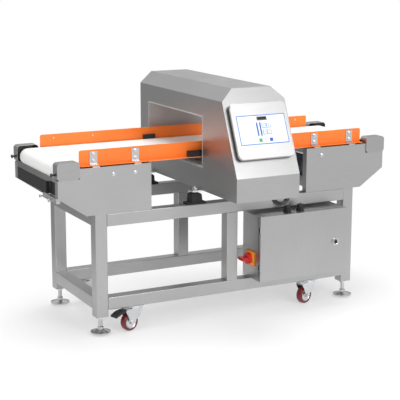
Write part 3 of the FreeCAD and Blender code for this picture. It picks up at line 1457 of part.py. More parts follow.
def mounting_plate():
    """The back plate inside the cabinet, with its power supply, speed drive, relays and terminal strip."""
    inner = "cabinet_back - cabinet_sheet - plate_stand_off"
    left = "(cabinet_left + cabinet_rim)"
    low = "(cabinet_base + cabinet_rim)"
    wide = "(cabinet_width - 2 * cabinet_rim)"
    tall = "(cabinet_height - 2 * cabinet_rim)"
    pieces = [box("back_plate", (left, inner, low), (wide, "plate_thick", tall))]
    for index, (side, up) in enumerate(((0.1, 0.1), (0.9, 0.1), (0.1, 0.9), (0.9, 0.9))):
        at = ("%s + %s * %s" % (left, side, wide), inner, "%s + %s * %s" % (low, up, tall))
        pieces.append(rod("stand_off_%d" % index, at, "stand_off_diameter", "plate_stand_off", "Y"))
    for name, (across, up, width, height, depth) in DEVICES.items():
        deep = "device_depth * %s" % depth
        at = ("%s + %s * %s" % (left, across, wide), inner + " - " + deep, "%s + %s * %s" % (low, up, tall))
        pieces.append(box(name, at, ("%s * %s" % (width, wide), deep + " + plate_thick / 2", "%s * %s" % (height, tall))))
    node("mounting_plate", fused("plate_with_devices", pieces))


# ---------------------------------------------------------------- assembly

stand()
levelling_feet()
casters()
side_plates()
roller_covers()
end_panels()
conveyor_belt()
rollers()
bearing_blocks()
slider_board()
guide_rails()
rail_supports()
photo_sensor()
gear_motor()
drive_belt()
head_case()
tunnel_liner()
search_coils()
head_mounts()
cable_loop()
control_unit()
cabinet_box()
cabinet_door()
door_hinges()
cabinet_lock()
main_switch()
cable_glands()
mounting_plate()
doc.recompute()

for item in doc.Objects:
    if "Invalid" in item.State or "Error" in item.State:
        raise RuntimeError("%s failed: %s" % (item.Label, item.State))
for item in NODES:
    if item.Shape.isNull() or not item.Shape.isValid() or not item.Shape.Solids:
        raise RuntimeError("%s has no sound solid" % item.Label)

os.makedirs("parts", exist_ok=True)
for item in NODES:
    item.Shape.exportStep("parts/%s.step" % item.Label)
print("%d sub-parts written" % len(NODES))
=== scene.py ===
# %% [markdown]
# # A conveyor metal detector, dressed in Blender
#
# The machine carries packs on a white belt through a brushed stainless tunnel that looks for metal.
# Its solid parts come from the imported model.  This lesson gives every part its real finish, and adds the small pieces
# that a maker would fit last: screws, washers, printed keys and catches.

# %% Load the fixed frame
import bpy
import json
import math
from mathutils import Matrix, Vector


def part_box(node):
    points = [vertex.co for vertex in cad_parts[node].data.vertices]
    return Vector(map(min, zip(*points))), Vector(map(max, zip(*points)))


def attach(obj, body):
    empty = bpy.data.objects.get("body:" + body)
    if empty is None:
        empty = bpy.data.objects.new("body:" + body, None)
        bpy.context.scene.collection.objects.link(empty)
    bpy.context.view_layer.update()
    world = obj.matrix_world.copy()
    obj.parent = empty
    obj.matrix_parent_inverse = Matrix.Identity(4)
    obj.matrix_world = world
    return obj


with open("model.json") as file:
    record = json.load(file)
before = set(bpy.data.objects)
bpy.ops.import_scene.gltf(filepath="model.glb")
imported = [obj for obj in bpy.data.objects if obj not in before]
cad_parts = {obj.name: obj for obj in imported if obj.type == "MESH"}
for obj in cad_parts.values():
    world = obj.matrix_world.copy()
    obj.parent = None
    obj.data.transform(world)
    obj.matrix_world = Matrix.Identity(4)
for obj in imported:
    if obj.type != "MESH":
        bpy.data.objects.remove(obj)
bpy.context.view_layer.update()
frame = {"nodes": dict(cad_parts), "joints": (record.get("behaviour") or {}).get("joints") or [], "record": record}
nodes = frame["nodes"]
scene = bpy.context.scene

# %% [markdown]
# ## The camera
#
# A long lens from the left and a little above shows the belt's whole length with little narrowing, as product pictures
# are taken.  The camera stands about four and a half metres away, turned to the right and tipped down.

# %% Set the camera
camera_data = bpy.data.cameras.new("studio_camera")
camera = bpy.data.objects.new("studio_camera", camera_data)
scene.collection.objects.link(camera)
camera_data.sensor_width = 36
camera_data.lens = 105.2
camera_data.shift_x = -0.001
camera_data.shift_y = -0.0095
camera_data.clip_end = 100
camera.rotation_mode = "XYZ"
camera.location = (-2.2573, -4.2375, 1.4977)
camera.rotation_euler = (math.radians(90 - 11.956), math.radians(-0.123), math.radians(-27.426))
scene.camera = camera
print("camera", [round(v, 3) for v in camera.location])

# %% [markdown]
# ## Helpers for shader nodes
#
# Every finish starts the same way: a fresh node tree with one main shader.  The helper returns the tree and two short
# functions, one that adds a node and one that joins two sockets, so that each finish reads as a recipe.

# %% Shader node helpers
def start_tree(material):
    """Clear a material's nodes and return (add, join, shader) to build it with."""
    material.use_nodes = True
    tree = material.node_tree
    tree.nodes.clear()

    def add(kind, **settings):
        new_node = tree.nodes.new(kind)
        for key, setting in settings.items():
            if key.startswith("in_"):
                socket = key[3:].replace("_", " ")
                new_node.inputs[socket].default_value = setting
            else:
                setattr(new_node, key, setting)
        return new_node

    def join(source, target):
        tree.links.new(source, target)

    shader = add("ShaderNodeBsdfPrincipled")
    output = add("ShaderNodeOutputMaterial")
    join(shader.outputs["BSDF"], output.inputs["Surface"])
    return add, join, shader


def ramp(add, stops):
    """A colour ramp node with (position, colour) stops."""
    new_ramp = add("ShaderNodeValToRGB")
    elements = new_ramp.color_ramp.elements
    while len(elements) < len(stops):
        elements.new(0.5)
    for element, (position, colour) in zip(elements, stops):
        element.position = position
        element.color = (*colour, 1)
    return new_ramp


def grey(level):
    """A neutral colour."""
    return (level, level, level)


# %% [markdown]
# ## A group for brushed grain
#
# Stainless sheet is brushed with an abrasive belt, which leaves fine parallel scratches.  Noise that is stretched a
# long way in one direction looks just like them.  The group takes the stretch as a vector and gives back three masks:
# the fine grain, a broad cloudy variation as left by wiping, and sparse smudges.

# %% Build the grain group
def grain_group():
    """Make the shared group of grain, cloud and smudge masks."""
    group = bpy.data.node_groups.new("brushed_grain", "ShaderNodeTree")
    group.interface.new_socket("Stretch", in_out="INPUT", socket_type="NodeSocketVector")
    for name in ("Grain", "Cloud", "Smudge"):
        group.interface.new_socket(name, in_out="OUTPUT", socket_type="NodeSocketFloat")
    entry = group.nodes.new("NodeGroupInput")
    leave = group.nodes.new("NodeGroupOutput")
    where = group.nodes.new("ShaderNodeTexCoord")
    stretched = group.nodes.new("ShaderNodeVectorMath")
    stretched.operation = "MULTIPLY"
    group.links.new(where.outputs["Object"], stretched.inputs[0])
    group.links.new(entry.outputs["Stretch"], stretched.inputs[1])
    for name, scale, detail, source in (
        ("Grain", 1.0, 6.0, stretched.outputs[0]),
        ("Cloud", 2.6, 3.0, where.outputs["Object"]),
        ("Smudge", 9.0, 5.0, where.outputs["Object"]),
    ):
        noise = group.nodes.new("ShaderNodeTexNoise")
        noise.inputs["Scale"].default_value = scale
        noise.inputs["Detail"].default_value = detail
        group.links.new(source, noise.inputs["Vector"])
        group.links.new(noise.outputs["Fac"], leave.inputs[name])
    return group


GRAIN = grain_group()
print("grain group has", len(GRAIN.nodes), "nodes")

# %% [markdown]
# ## Finishes
#
# Each function below is one kind of finish.  Brushed steel mixes two greys by the grain, lets the grain swing the
# roughness, and presses it very lightly into the surface as bump.

# %% Brushed and plated metal
ACROSS = (22, 22, 1500)
LENGTHWAYS = (16, 1500, 1500)
UPRIGHT = (1500, 1500, 16)
EVEN = (160, 160, 160)


def brushed_metal(material, base, stretch, rough=0.34, contrast=0.05, metal=1.0, bump=0.03):
    """Steel with parallel brushing, faint clouds and smudges."""
    add, join, shader = start_tree(material)
    masks = add("ShaderNodeGroup", node_tree=GRAIN)
    masks.inputs["Stretch"].default_value = stretch
    dark = tuple(c * (1 - contrast) for c in base)
    light = tuple(min(1, c * (1 + contrast)) for c in base)
    tone = ramp(add, ((0.3, dark), (0.7, light)))
    join(masks.outputs["Grain"], tone.inputs["Fac"])
    cloud = add("ShaderNodeMix", data_type="RGBA", blend_type="MULTIPLY")
    cloud_tone = ramp(add, ((0.3, grey(0.93)), (0.7, grey(1.0))))
    join(masks.outputs["Cloud"], cloud_tone.inputs["Fac"])
    cloud.inputs["Factor"].default_value = 1
    join(tone.outputs["Color"], cloud.inputs["A"])
    join(cloud_tone.outputs["Color"], cloud.inputs["B"])
    join(cloud.outputs["Result"], shader.inputs["Base Color"])
    spread = add("ShaderNodeMapRange", in_To_Min=rough - 0.06, in_To_Max=rough + 0.10)
    join(masks.outputs["Smudge"], spread.inputs["Value"])
    join(spread.outputs["Result"], shader.inputs["Roughness"])
    press = add("ShaderNodeBump", in_Strength=bump, in_Distance=0.0004)
    join(masks.outputs["Grain"], press.inputs["Height"])
    join(press.outputs["Normal"], shader.inputs["Normal"])
    shader.inputs["Metallic"].default_value = metal
    return material


# %% [markdown]
# Moulded plastic, rubber and powder coat share one recipe: a colour that varies a little, a fine pebble in the bump and
# a roughness that changes where hands and dust have been.

# %% Plastic, rubber and paint
def moulded(material, base, rough=0.45, pebble=900, bump=0.08, vary=0.08, coat=0.0, metal=0.0):
    """Plastic, rubber or powder coat with a fine texture and uneven gloss."""
    add, join, shader = start_tree(material)
    where = add("ShaderNodeTexCoord")
    fine = add("ShaderNodeTexNoise", in_Scale=pebble, in_Detail=3.0)
    broad = add("ShaderNodeTexNoise", in_Scale=7.0, in_Detail=4.0)
    for noise in (fine, broad):
        join(where.outputs["Object"], noise.inputs["Vector"])
    dark = tuple(c * (1 - vary) for c in base)
    light = tuple(min(1, c * (1 + vary)) for c in base)
    tone = ramp(add, ((0.35, dark), (0.65, light)))
    join(broad.outputs["Fac"], tone.inputs["Fac"])
    join(tone.outputs["Color"], shader.inputs["Base Color"])
    spread = add("ShaderNodeMapRange", in_To_Min=max(0.05, rough - 0.08), in_To_Max=min(1, rough + 0.10))
    join(broad.outputs["Fac"], spread.inputs["Value"])
    join(spread.outputs["Result"], shader.inputs["Roughness"])
    press = add("ShaderNodeBump", in_Strength=bump, in_Distance=0.0005)
    join(fine.outputs["Fac"], press.inputs["Height"])
    join(press.outputs["Normal"], shader.inputs["Normal"])
    shader.inputs["Metallic"].default_value = metal
    shader.inputs["Coat Weight"].default_value = coat
    return material


# %% Give every slot of the record its finish
FINISHES = {
    "stainless_tube": lambda m: brushed_metal(m, grey(0.47), LENGTHWAYS, rough=0.38, contrast=0.04),
    "stainless_sheet": lambda m: brushed_metal(m, grey(0.46), ACROSS, rough=0.38),
    "cover_sheet": lambda m: brushed_metal(m, grey(0.42), ACROSS, rough=0.36),
    "bracket_steel": lambda m: brushed_metal(m, grey(0.60), UPRIGHT, rough=0.30),
    "clamp_steel": lambda m: brushed_metal(m, grey(0.60), LENGTHWAYS, rough=0.32),
    "cabinet_sheet": lambda m: brushed_metal(m, grey(0.46), UPRIGHT, rough=0.34, contrast=0.035),
    "panel_sheet": lambda m: brushed_metal(m, grey(0.58), ACROSS, rough=0.36, contrast=0.05),
    "zinc_steel": lambda m: brushed_metal(m, (0.72, 0.73, 0.75), EVEN, rough=0.24, contrast=0.06),
    "roller_steel": lambda m: brushed_metal(m, grey(0.55), (900, 10, 900), rough=0.26),
    "foot_steel": lambda m: brushed_metal(m, grey(0.55), EVEN, rough=0.12, contrast=0.05),
    "lock_metal": lambda m: brushed_metal(m, grey(0.62), EVEN, rough=0.14, contrast=0.04),
    "pulley_metal": lambda m: brushed_metal(m, grey(0.70), (900, 30, 900), rough=0.3),
    "coil_copper": lambda m: brushed_metal(m, (0.72, 0.40, 0.25), (60, 900, 60), rough=0.35),
    "dark_sheet": lambda m: moulded(m, grey(0.010), rough=0.55, pebble=1400),
    "rail_orange": lambda m: moulded(m, (0.95, 0.20, 0.02), rough=0.36, pebble=1200, bump=0.05, vary=0.05),
    "motor_grey": lambda m: moulded(m, (0.06, 0.075, 0.09), rough=0.45),
    "belt_white": lambda m: moulded(m, (0.86, 0.86, 0.84), rough=0.42, pebble=700, vary=0.02),
    "board_resin": lambda m: moulded(m, (0.05, 0.03, 0.02), rough=0.5, pebble=500),
    "block_black": lambda m: moulded(m, grey(0.012), rough=0.45),
    "sensor_black": lambda m: moulded(m, grey(0.014), rough=0.35),
    "drive_rubber": lambda m: moulded(m, grey(0.015), rough=0.6, pebble=500),
    "liner_plastic": lambda m: moulded(m, (0.42, 0.415, 0.41), rough=0.5, pebble=600),
    "mount_rubber": lambda m: moulded(m, grey(0.013), rough=0.65, pebble=500, bump=0.15),
    "conduit_black": lambda m: moulded(m, grey(0.014), rough=0.40),
    # Near-black base behind the control cover: partly a real rubber gasket, partly painted shade standing in for the
    # shadow gap along the cover's left and lower edges.
    "gasket_black": lambda m: moulded(m, grey(0.02), rough=0.6),
    "key_white": lambda m: moulded(m, (0.80, 0.86, 0.95), rough=0.3, vary=0.03, coat=0.3),
    "key_green": lambda m: moulded(m, (0.05, 0.42, 0.14), rough=0.3, coat=0.3),
    "key_blue": lambda m: moulded(m, (0.02, 0.10, 0.55), rough=0.3, coat=0.3),
    "wheel_red": lambda m: moulded(m, (0.16, 0.006, 0.012), rough=0.32, vary=0.12, coat=0.3),
    "pedal_black": lambda m: moulded(m, grey(0.014), rough=0.35),
    "switch_yellow": lambda m: moulded(m, (0.95, 0.30, 0.01), rough=0.32, coat=0.2),
    "switch_red": lambda m: moulded(m, (0.62, 0.01, 0.01), rough=0.3, coat=0.3),
    "gland_black": lambda m: moulded(m, grey(0.012), rough=0.45),
    "device_grey": lambda m: moulded(m, (0.30, 0.32, 0.35), rough=0.4),
}
print(len(FINISHES), "plain finishes")

# %% [markdown]
# ## Finding each slot's material
#
# The frame brings one material for each slot of the record.  A helper finds the material that a node wears, so that
# the finish functions can refill it, and new pieces can wear the same.

# %% Fill the slots
slot_of = {part["node"]: part["material_slot"] for part in frame["record"]["subparts"]}
material_of = {}
for node_name, slot_name in slot_of.items():
    if slot_name not in material_of:
        material_of[slot_name] = bpy.data.materials.new("finish_" + slot_name)
    worn = nodes[node_name].data.materials
    if len(worn) == 0:
        worn.append(material_of[slot_name])
    for index in range(len(worn)):
        worn[index] = material_of[slot_name]
for slot_name, finish in FINISHES.items():
    finish(material_of[slot_name])
print("slots without a plain finish:", sorted(set(material_of) - set(FINISHES)))

# %% [markdown]
# ## The printed foil of the control unit
#
# The foil is white with a thin blue frame and pale stripes across.  It carries a dark display at the top left, two
# dark bars on the right, and coloured fields round the keys.  The print is worked out in the foil's own plane: one
# axis runs along X, the other up the slope.

# %% Shade the foil
def foil_print(material):
    """White foil with pale blue lines across and a thin blue border."""
    low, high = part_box("control_overlay")
    add, join, shader = start_tree(material)
    where = add("ShaderNodeTexCoord")
    split = add("ShaderNodeSeparateXYZ")
    join(where.outputs["Object"], split.inputs[0])

    def band(value_socket, start, stop):
        """1 between two values of a socket, 0 outside."""
        above = add("ShaderNodeMath", operation="GREATER_THAN")
        below = add("ShaderNodeMath", operation="LESS_THAN")
        both = add("ShaderNodeMath", operation="MULTIPLY")
        for node, limit in ((above, start), (below, stop)):
            join(value_socket, node.inputs[0])
            node.inputs[1].default_value = limit
        join(above.outputs[0], both.inputs[0])
        join(below.outputs[0], both.inputs[1])
        return both.outputs[0]

    edge = 0.0035
    across = band(split.outputs["X"], low.x + edge, high.x - edge)
    upward = band(split.outputs["Z"], low.z + edge, high.z - edge)
    inside = add("ShaderNodeMath", operation="MULTIPLY")
    join(across, inside.inputs[0])
    join(upward, inside.inputs[1])
    stripe = add("ShaderNodeMath", operation="MULTIPLY")
    stripe.inputs[1].default_value = 2 * math.pi / 0.0085
    join(split.outputs["Z"], stripe.inputs[0])
    wave = add("ShaderNodeMath", operation="SINE")
    join(stripe.outputs[0], wave.inputs[0])
    lines = ramp(add, ((0.86, (0.80, 0.84, 0.90)), (0.96, (0.60, 0.70, 0.86))))
    join(wave.outputs[0], lines.inputs["Fac"])
    print_mix = add("ShaderNodeMix", data_type="RGBA")
    print_mix.inputs["A"].default_value = (0.10, 0.22, 0.60, 1)
    join(inside.outputs[0], print_mix.inputs["Factor"])
    join(lines.outputs["Color"], print_mix.inputs["B"])
    join(print_mix.outputs["Result"], shader.inputs["Base Color"])
    gloss = add("ShaderNodeTexNoise", in_Scale=30.0)
    join(where.outputs["Object"], gloss.inputs["Vector"])
    spread = add("ShaderNodeMapRange", in_To_Min=0.30, in_To_Max=0.42)
    join(gloss.outputs["Fac"], spread.inputs["Value"])
    join(spread.outputs["Result"], shader.inputs["Roughness"])


foil_print(material_of["overlay_foil"])

# %% [markdown]
# ## Small fasteners
#
# Screws and bolts are what makes sheet metal look real, because light catches their heads.  Three kinds are enough: a
# button-headed screw on its washer, a hexagon bolt on its washer, and a plain washer-headed rivet.  Each is modelled
# once at the origin, pointing up, and copied to where it belongs.  A round shape is a half outline that is spun about
# its own axis, as a lathe would turn it.

# %% Turn, bevel and copy
def only_active(target):
    """Select one object alone and make it active."""
    bpy.ops.object.select_all(action="DESELECT")
    target.select_set(True)
    bpy.context.view_layer.objects.active = target


def spun(name, profile, sides=32):
    """Turn a half outline of (radius, height) points about the Z axis."""
    mesh = bpy.data.meshes.new(name)
    points = [(radius, 0, height) for radius, height in profile]
    mesh.from_pydata(points, [(i, i + 1) for i in range(len(points) - 1)], [])
    piece = bpy.data.objects.new(name, mesh)
    scene.collection.objects.link(piece)
    only_active(piece)
    bpy.ops.object.mode_set(mode="EDIT")
    bpy.ops.mesh.select_all(action="SELECT")
    bpy.ops.mesh.spin(steps=sides, angle=math.tau, center=(0, 0, 0), axis=(0, 0, 1))
    bpy.ops.mesh.remove_doubles(threshold=0.00001)
    bpy.ops.mesh.select_all(action="SELECT")
    bpy.ops.mesh.normals_make_consistent(inside=False)
    bpy.ops.object.mode_set(mode="OBJECT")
    return piece


def prism(name, sides, radius, depth, bevel):
    """A straight-sided bar end that stands on the origin, with eased edges."""
    bpy.ops.object.select_all(action="DESELECT")
    bpy.ops.mesh.primitive_cylinder_add(vertices=sides, radius=radius, depth=depth)
    piece = bpy.context.object
    piece.name = name
    bpy.ops.object.mode_set(mode="EDIT")
    bpy.ops.mesh.select_all(action="SELECT")
    bpy.ops.transform.translate(value=(0, 0, depth / 2))
    bpy.ops.mesh.bevel(offset=bevel, segments=2)
    bpy.ops.object.mode_set(mode="OBJECT")
    return piece


def slab(name, size, bevel):
    """A flat block that stands on the origin, with eased edges."""
    bpy.ops.object.select_all(action="DESELECT")
    bpy.ops.mesh.primitive_cube_add(size=1)
    piece = bpy.context.object
    piece.name = name
    bpy.ops.object.mode_set(mode="EDIT")
    bpy.ops.mesh.select_all(action="SELECT")
    bpy.ops.transform.resize(value=size)
    bpy.ops.transform.translate(value=(0, 0, size[2] / 2))
    bpy.ops.mesh.bevel(offset=bevel, segments=2)
    bpy.ops.object.mode_set(mode="OBJECT")
    return piece


def joined(name, parts):
    """Join pieces into one object."""
    bpy.ops.object.select_all(action="DESELECT")
    for part in parts:
        part.select_set(True)
    bpy.context.view_layer.objects.active = parts[0]
    bpy.ops.object.join()
    parts[0].name = name
    return parts[0]


def facing(place, outward, upward=(0, 0, 1)):
    """A matrix that stands a piece at a place, with its Z axis outward and its Y axis as near upward as it goes."""
    out = Vector(outward).normalized()
    side = Vector(upward).cross(out)
    if side.length < 0.001:
        side = Vector((1, 0, 0))
    side.normalize()
    turn = Matrix((side, out.cross(side), out)).transposed().to_4x4()
    return Matrix.Translation(place) @ turn


def copy_to(model, name, matrix, body, slot_name):
    """Copy a model with its own mesh, put the place in the mesh, and let it ride on a body."""
    piece = bpy.data.objects.new(name, model.data.copy())
    scene.collection.objects.link(piece)
    piece.data.transform(matrix)
    piece.data.materials.clear()
    piece.data.materials.append(material_of[slot_name])
    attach(piece, body)
    return piece


def discard(*models):
    """Remove the models once their copies stand in place."""
    for model in models:
        bpy.data.objects.remove(model)


# %% Model the three fasteners
def washer_profile(bore, radius, thick):
    """The closed half outline of a washer."""
    return [(bore, 0), (radius, 0), (radius, thick * 0.7), (radius * 0.96, thick), (bore, thick), (bore, 0)]


def button_screw():
    """A domed head with a round socket, on a washer."""
    washer = spun("washer", washer_profile(0.0025, 0.0062, 0.0010))
    head = spun("dome", [(0, 0.0022), (0.0014, 0.0022), (0.0014, 0.0040), (0.0024, 0.0041), (0.0038, 0.0032),
                         (0.0046, 0.0018), (0.0046, 0.0008), (0, 0.0008)])
    return joined("button_screw", [washer, head])


def hexagon_bolt():
    """A hexagon head on a washer, with the end of its thread proud."""
    washer = spun("washer", washer_profile(0.0030, 0.0080, 0.0014))
    head = prism("hexagon", 6, 0.0062, 0.0050, 0.0005)
    thread = spun("thread", [(0, 0.0072), (0.0022, 0.0072), (0.0029, 0.0064), (0.0029, 0.0040), (0, 0.0040)], sides=20)
    return joined("hexagon_bolt", [washer, head, thread])


def rivet():
    """A low round head."""
    return spun("rivet", [(0, 0.0018), (0.0018, 0.0016), (0.0034, 0.0007), (0.0036, 0), (0, 0)])


button = button_screw()
bolt = hexagon_bolt()
dome = rivet()
print("fasteners:", [len(model.data.polygons) for model in (button, bolt, dome)], "faces")

# %% [markdown]
# The guide rails hang on four steel brackets a side.  Each bracket has two bolts outside, and their domed ends show
# on the rail's inner face.  The brackets stand at the same distance from the middle on both ends.

# %% Bolt the rail brackets
rail_low, rail_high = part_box("guide_rails")
support_low, support_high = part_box("rail_supports")
side_low, side_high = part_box("side_plates")
middle_x = (side_low.x + side_high.x) / 2
belt_y = (side_low.y + side_high.y) / 2
NEAR_BRACKET = 0.415
FAR_BRACKET = 0.591
RAIL_OUTER = 0.2175
RAIL_INNER = 0.215
BRACKET_SHEET = 0.003
for number, reach in enumerate((-FAR_BRACKET, -NEAR_BRACKET, NEAR_BRACKET, FAR_BRACKET)):
    for side, sign in (("front", -1), ("rear", 1)):
        for level, share in (("low", 0.30), ("high", 0.74)):
            height = rail_low.z + share * (rail_high.z - rail_low.z)
            outer = (middle_x + reach, belt_y + sign * (RAIL_OUTER + BRACKET_SHEET), height)
            inner = (middle_x + reach, belt_y + sign * RAIL_INNER, height)
            name = "%s_%s_%d" % (side, level, number)
            copy_to(bolt, "rail_bolt_" + name, facing(outer, (0, sign, 0)), "machine", "zinc_steel")
            if level == "high":
                copy_to(dome, "rail_rivet_" + name, facing(inner, (0, -sign, 0)), "machine", "zinc_steel")
print("rail brackets at", [round(middle_x + reach, 3) for reach in (-FAR_BRACKET, -NEAR_BRACKET)])

# %% [markdown]
# The side plates are held by cap screws near their upper edge, two at the infeed and one at the outfeed.  The black
# bracket at the infeed end has three bright screws one above another.

# %% Screw the side plates and the end bracket
PLATE_SCREWS = (-0.5205, -0.428, 0.435)
PLATE_SCREW_DROP = 0.0315
for number, reach in enumerate(PLATE_SCREWS):
    place = (middle_x + reach, side_low.y, side_high.z - PLATE_SCREW_DROP)
    copy_to(bolt, "plate_bolt_%d" % number, facing(place, (0, -1, 0)), "machine", "zinc_steel")
end_low, end_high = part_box("end_panels")
bracket_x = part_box("end_clamp")[1].x - 0.004
for number, share in enumerate((0.25, 0.55, 0.85)):
    place = (bracket_x, end_low.y + 0.018, end_low.z + share * (end_high.z - end_low.z))
    copy_to(button, "end_screw_%d" % number, facing(place, (-1, 0, 0)), "machine", "zinc_steel")
print("side plate screws", len(PLATE_SCREWS))

# %% [markdown]
# ## Caster hubs
#
# A caster wheel is a red tyre moulded round a pale core.  The core shows as a dished disc with a raised rim and a boss
# for the bearing.  One disc is turned on the lathe and set on both faces of each wheel, along the wheel's own axle,
# which the record's joint gives.  A hexagon nut closes each end of the axle on the outside of the fork.

# %% Fit the hubs and axle nuts
joint_of = {joint["name"]: joint for joint in frame["joints"]}
hub = spun("hub", [(0.0046, 0.0), (0.0046, 0.0062), (0.0088, 0.0062), (0.0100, 0.0040), (0.0110, 0.0016), (0.0200, 0.0012),
                   (0.0240, 0.0018), (0.0262, 0.0034), (0.0272, 0.0034), (0.0278, 0.0), (0.0046, 0.0)], sides=48)
nut = prism("nut", 6, 0.0075, 0.0045, 0.0005)
HUB_FACE = 0.0090
FORK_HALF = 0.0195
for corner in ("front_left", "front_right", "rear_left", "rear_right"):
    roll = joint_of["caster_roll_" + corner]
    centre = Vector(roll["pos_m"])
    axle = Vector(roll["axis"])
    for side, sign in (("near", -1), ("far", 1)):
        hub_place = facing(centre + sign * HUB_FACE * axle, sign * axle)
        copy_to(hub, "wheel_hub_%s_%s" % (corner, side), hub_place, "wheel_" + corner, "zinc_steel")
        nut_place = facing(centre + sign * FORK_HALF * axle, sign * axle)
        copy_to(nut, "axle_nut_%s_%s" % (corner, side), nut_place, "fork_" + corner, "zinc_steel")
print("hubs on", len(nodes), "node frame")

# %% [markdown]
# ## The control face
#
# The foil lies on a sloping face.  A point on it is found from its place along X and its height, because the slope is
# known from the direction in which the keys press.  A dark display stands at the top, two blue bars at its left, and a
# small green lamp beside the start key.  Each key sits in a blue printed field.

# %% Lay the display, bars, fields and lamp
foil_low, foil_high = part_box("control_overlay")
outward = -Vector(joint_of["key_up_press"]["axis"])
up_slope = Vector((0, outward.z, -outward.y))
FOIL_THICK = 0.0006
INK_LIFT = 0.0004


def on_face(x, height):
    """The matrix of a piece that lies on the foil at a place along X and a height."""
    rise = (height - foil_low.z) / up_slope.z
    start = Vector((x, foil_low.y, foil_low.z + FOIL_THICK * outward.z))
    return facing(start + rise * up_slope + INK_LIFT * outward, outward, up_slope)


def printed(base, gloss):
    """A finish for printed ink or a glossy window."""
    return moulded(bpy.data.materials.new("ink"), base, rough=gloss, pebble=1500, bump=0.02, vary=0.06, coat=0.3)


def ink_piece(name, size, x, height, ink):
    """A thin printed or glazed field on the foil."""
    model = slab(name + "_model", size, 0.0001)
    piece = copy_to(model, name, on_face(x, height), "machine", "overlay_foil")
    piece.data.materials[0] = ink
    discard(model)
    return piece


display_ink = printed(grey(0.012), 0.18)
frame_ink = printed(grey(0.20), 0.4)
bar_ink = printed((0.01, 0.10, 0.40), 0.35)
field_ink = printed((0.02, 0.20, 0.62), 0.35)
lamp_ink = printed((0.05, 0.50, 0.12), 0.2)
face_x = (foil_low.x + foil_high.x) / 2
INK = 0.0003
key_box = {name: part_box(name) for name in nodes if name.startswith("key_")}
key_middle = {name: (low + high) / 2 for name, (low, high) in key_box.items()}
ROW_STEP = key_middle["key_up"].z - key_middle["key_down"].z
display_height = key_middle["key_up"].z + 1.10 * ROW_STEP
ink_piece("display_frame", (0.045, 0.016, INK), face_x + 0.003, display_height, frame_ink)
ink_piece("display_window", (0.039, 0.011, 2 * INK), face_x + 0.003, display_height, display_ink)
for number, offset in enumerate((-0.023, -0.009)):
    ink_piece("level_bar_%d" % number, (0.006, 0.053, INK), face_x + offset, key_middle["key_up"].z - 0.5 * ROW_STEP,
              bar_ink)
FIELD = 0.0168
for name, middle in key_middle.items():
    if name in ("key_start", "key_menu"):
        continue
    for edge, offset, size in (
        ("left", (-1, 0), (0.0012, FIELD)), ("right", (1, 0), (0.0012, FIELD)),
        ("low", (0, -1), (FIELD, 0.0012)), ("high", (0, 1), (FIELD, 0.0012)),
    ):
        x = middle.x + offset[0] * FIELD / 2
        height = middle.z + offset[1] * FIELD / 2 * up_slope.z
        ink_piece("%s_%s_line" % (name, edge), (*size, INK), x, height, field_ink)
lamp_model = spun("lamp_model", [(0, 0.0014), (0.0012, 0.0012), (0.0020, 0.0006), (0.0021, 0), (0, 0)], sides=24)
lamp = copy_to(lamp_model, "start_lamp", on_face(face_x + 0.004, key_middle["key_start"].z + 0.003), "machine",
               "overlay_foil")
lamp.data.materials[0] = lamp_ink
discard(lamp_model)

# %% [markdown]
# ## The cabinet lock and the key marks
#
# The quarter-turn lock has a round bezel, and in it a dark barrel with a flat bar that the key turns.  Both turn with
# the lock.  The keys carry simple generic signs: arrows, plus and minus.

# %% Dress the lock
lock_joint = joint_of["lock_turn"]
lock_face = Vector((lock_joint["pos_m"][0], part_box("cabinet_lock")[0].y, lock_joint["pos_m"][2]))
bezel = spun("bezel", [(0.0085, 0.0), (0.0085, 0.0022), (0.0098, 0.0030), (0.0120, 0.0026), (0.0132, 0.0),
                       (0.0085, 0.0)], sides=48)
barrel = spun("barrel", [(0, 0.0008), (0.0080, 0.0008), (0.0084, 0.0), (0, 0.0)], sides=40)
bar = slab("bar", (0.0036, 0.0120, 0.0030), 0.0005)
lock_place = facing(lock_face, (0, -1, 0))
copy_to(bezel, "lock_bezel", lock_place, "lock", "lock_metal")
copy_to(barrel, "lock_barrel", lock_place, "lock", "sensor_black")
copy_to(bar, "lock_key_bar", lock_place, "lock", "sensor_black")
discard(bezel, barrel, bar)

# %% Mark the keys
stroke = slab("stroke", (0.0060, 0.0013, 0.0002), 0.0001)
for name, turns in (("key_plus", (0, 90)), ("key_minus", (0,)), ("key_up", (45, -45)), ("key_down", (45, -45))):
    centre = key_middle[name] + outward * 0.00175
    for number, turn in enumerate(turns):
        shift = Vector((0, 0, 0))
        if len(turns) == 2 and name in ("key_up", "key_down"):
            direction = 1 if name == "key_up" else -1
            side = -1 if number == 0 else 1
            turn = -direction * side * 45
            shift = Vector((side * 0.0018, 0, 0))
        mark = facing(centre + shift, outward, up_slope) @ Matrix.Rotation(math.radians(turn), 4, "Z")
        copy_to(stroke, "%s_mark_%d" % (name, number), mark, name + "_body", "key_blue")
discard(stroke, button, bolt, dome, hub, nut)

# %% [markdown]
# ## Studio
#
# A pale floor, a soft key lamp from the upper left, a wide fill and a gentle world.  The world shows white to the camera
# and to reflections, but lights the machine at a plain level.

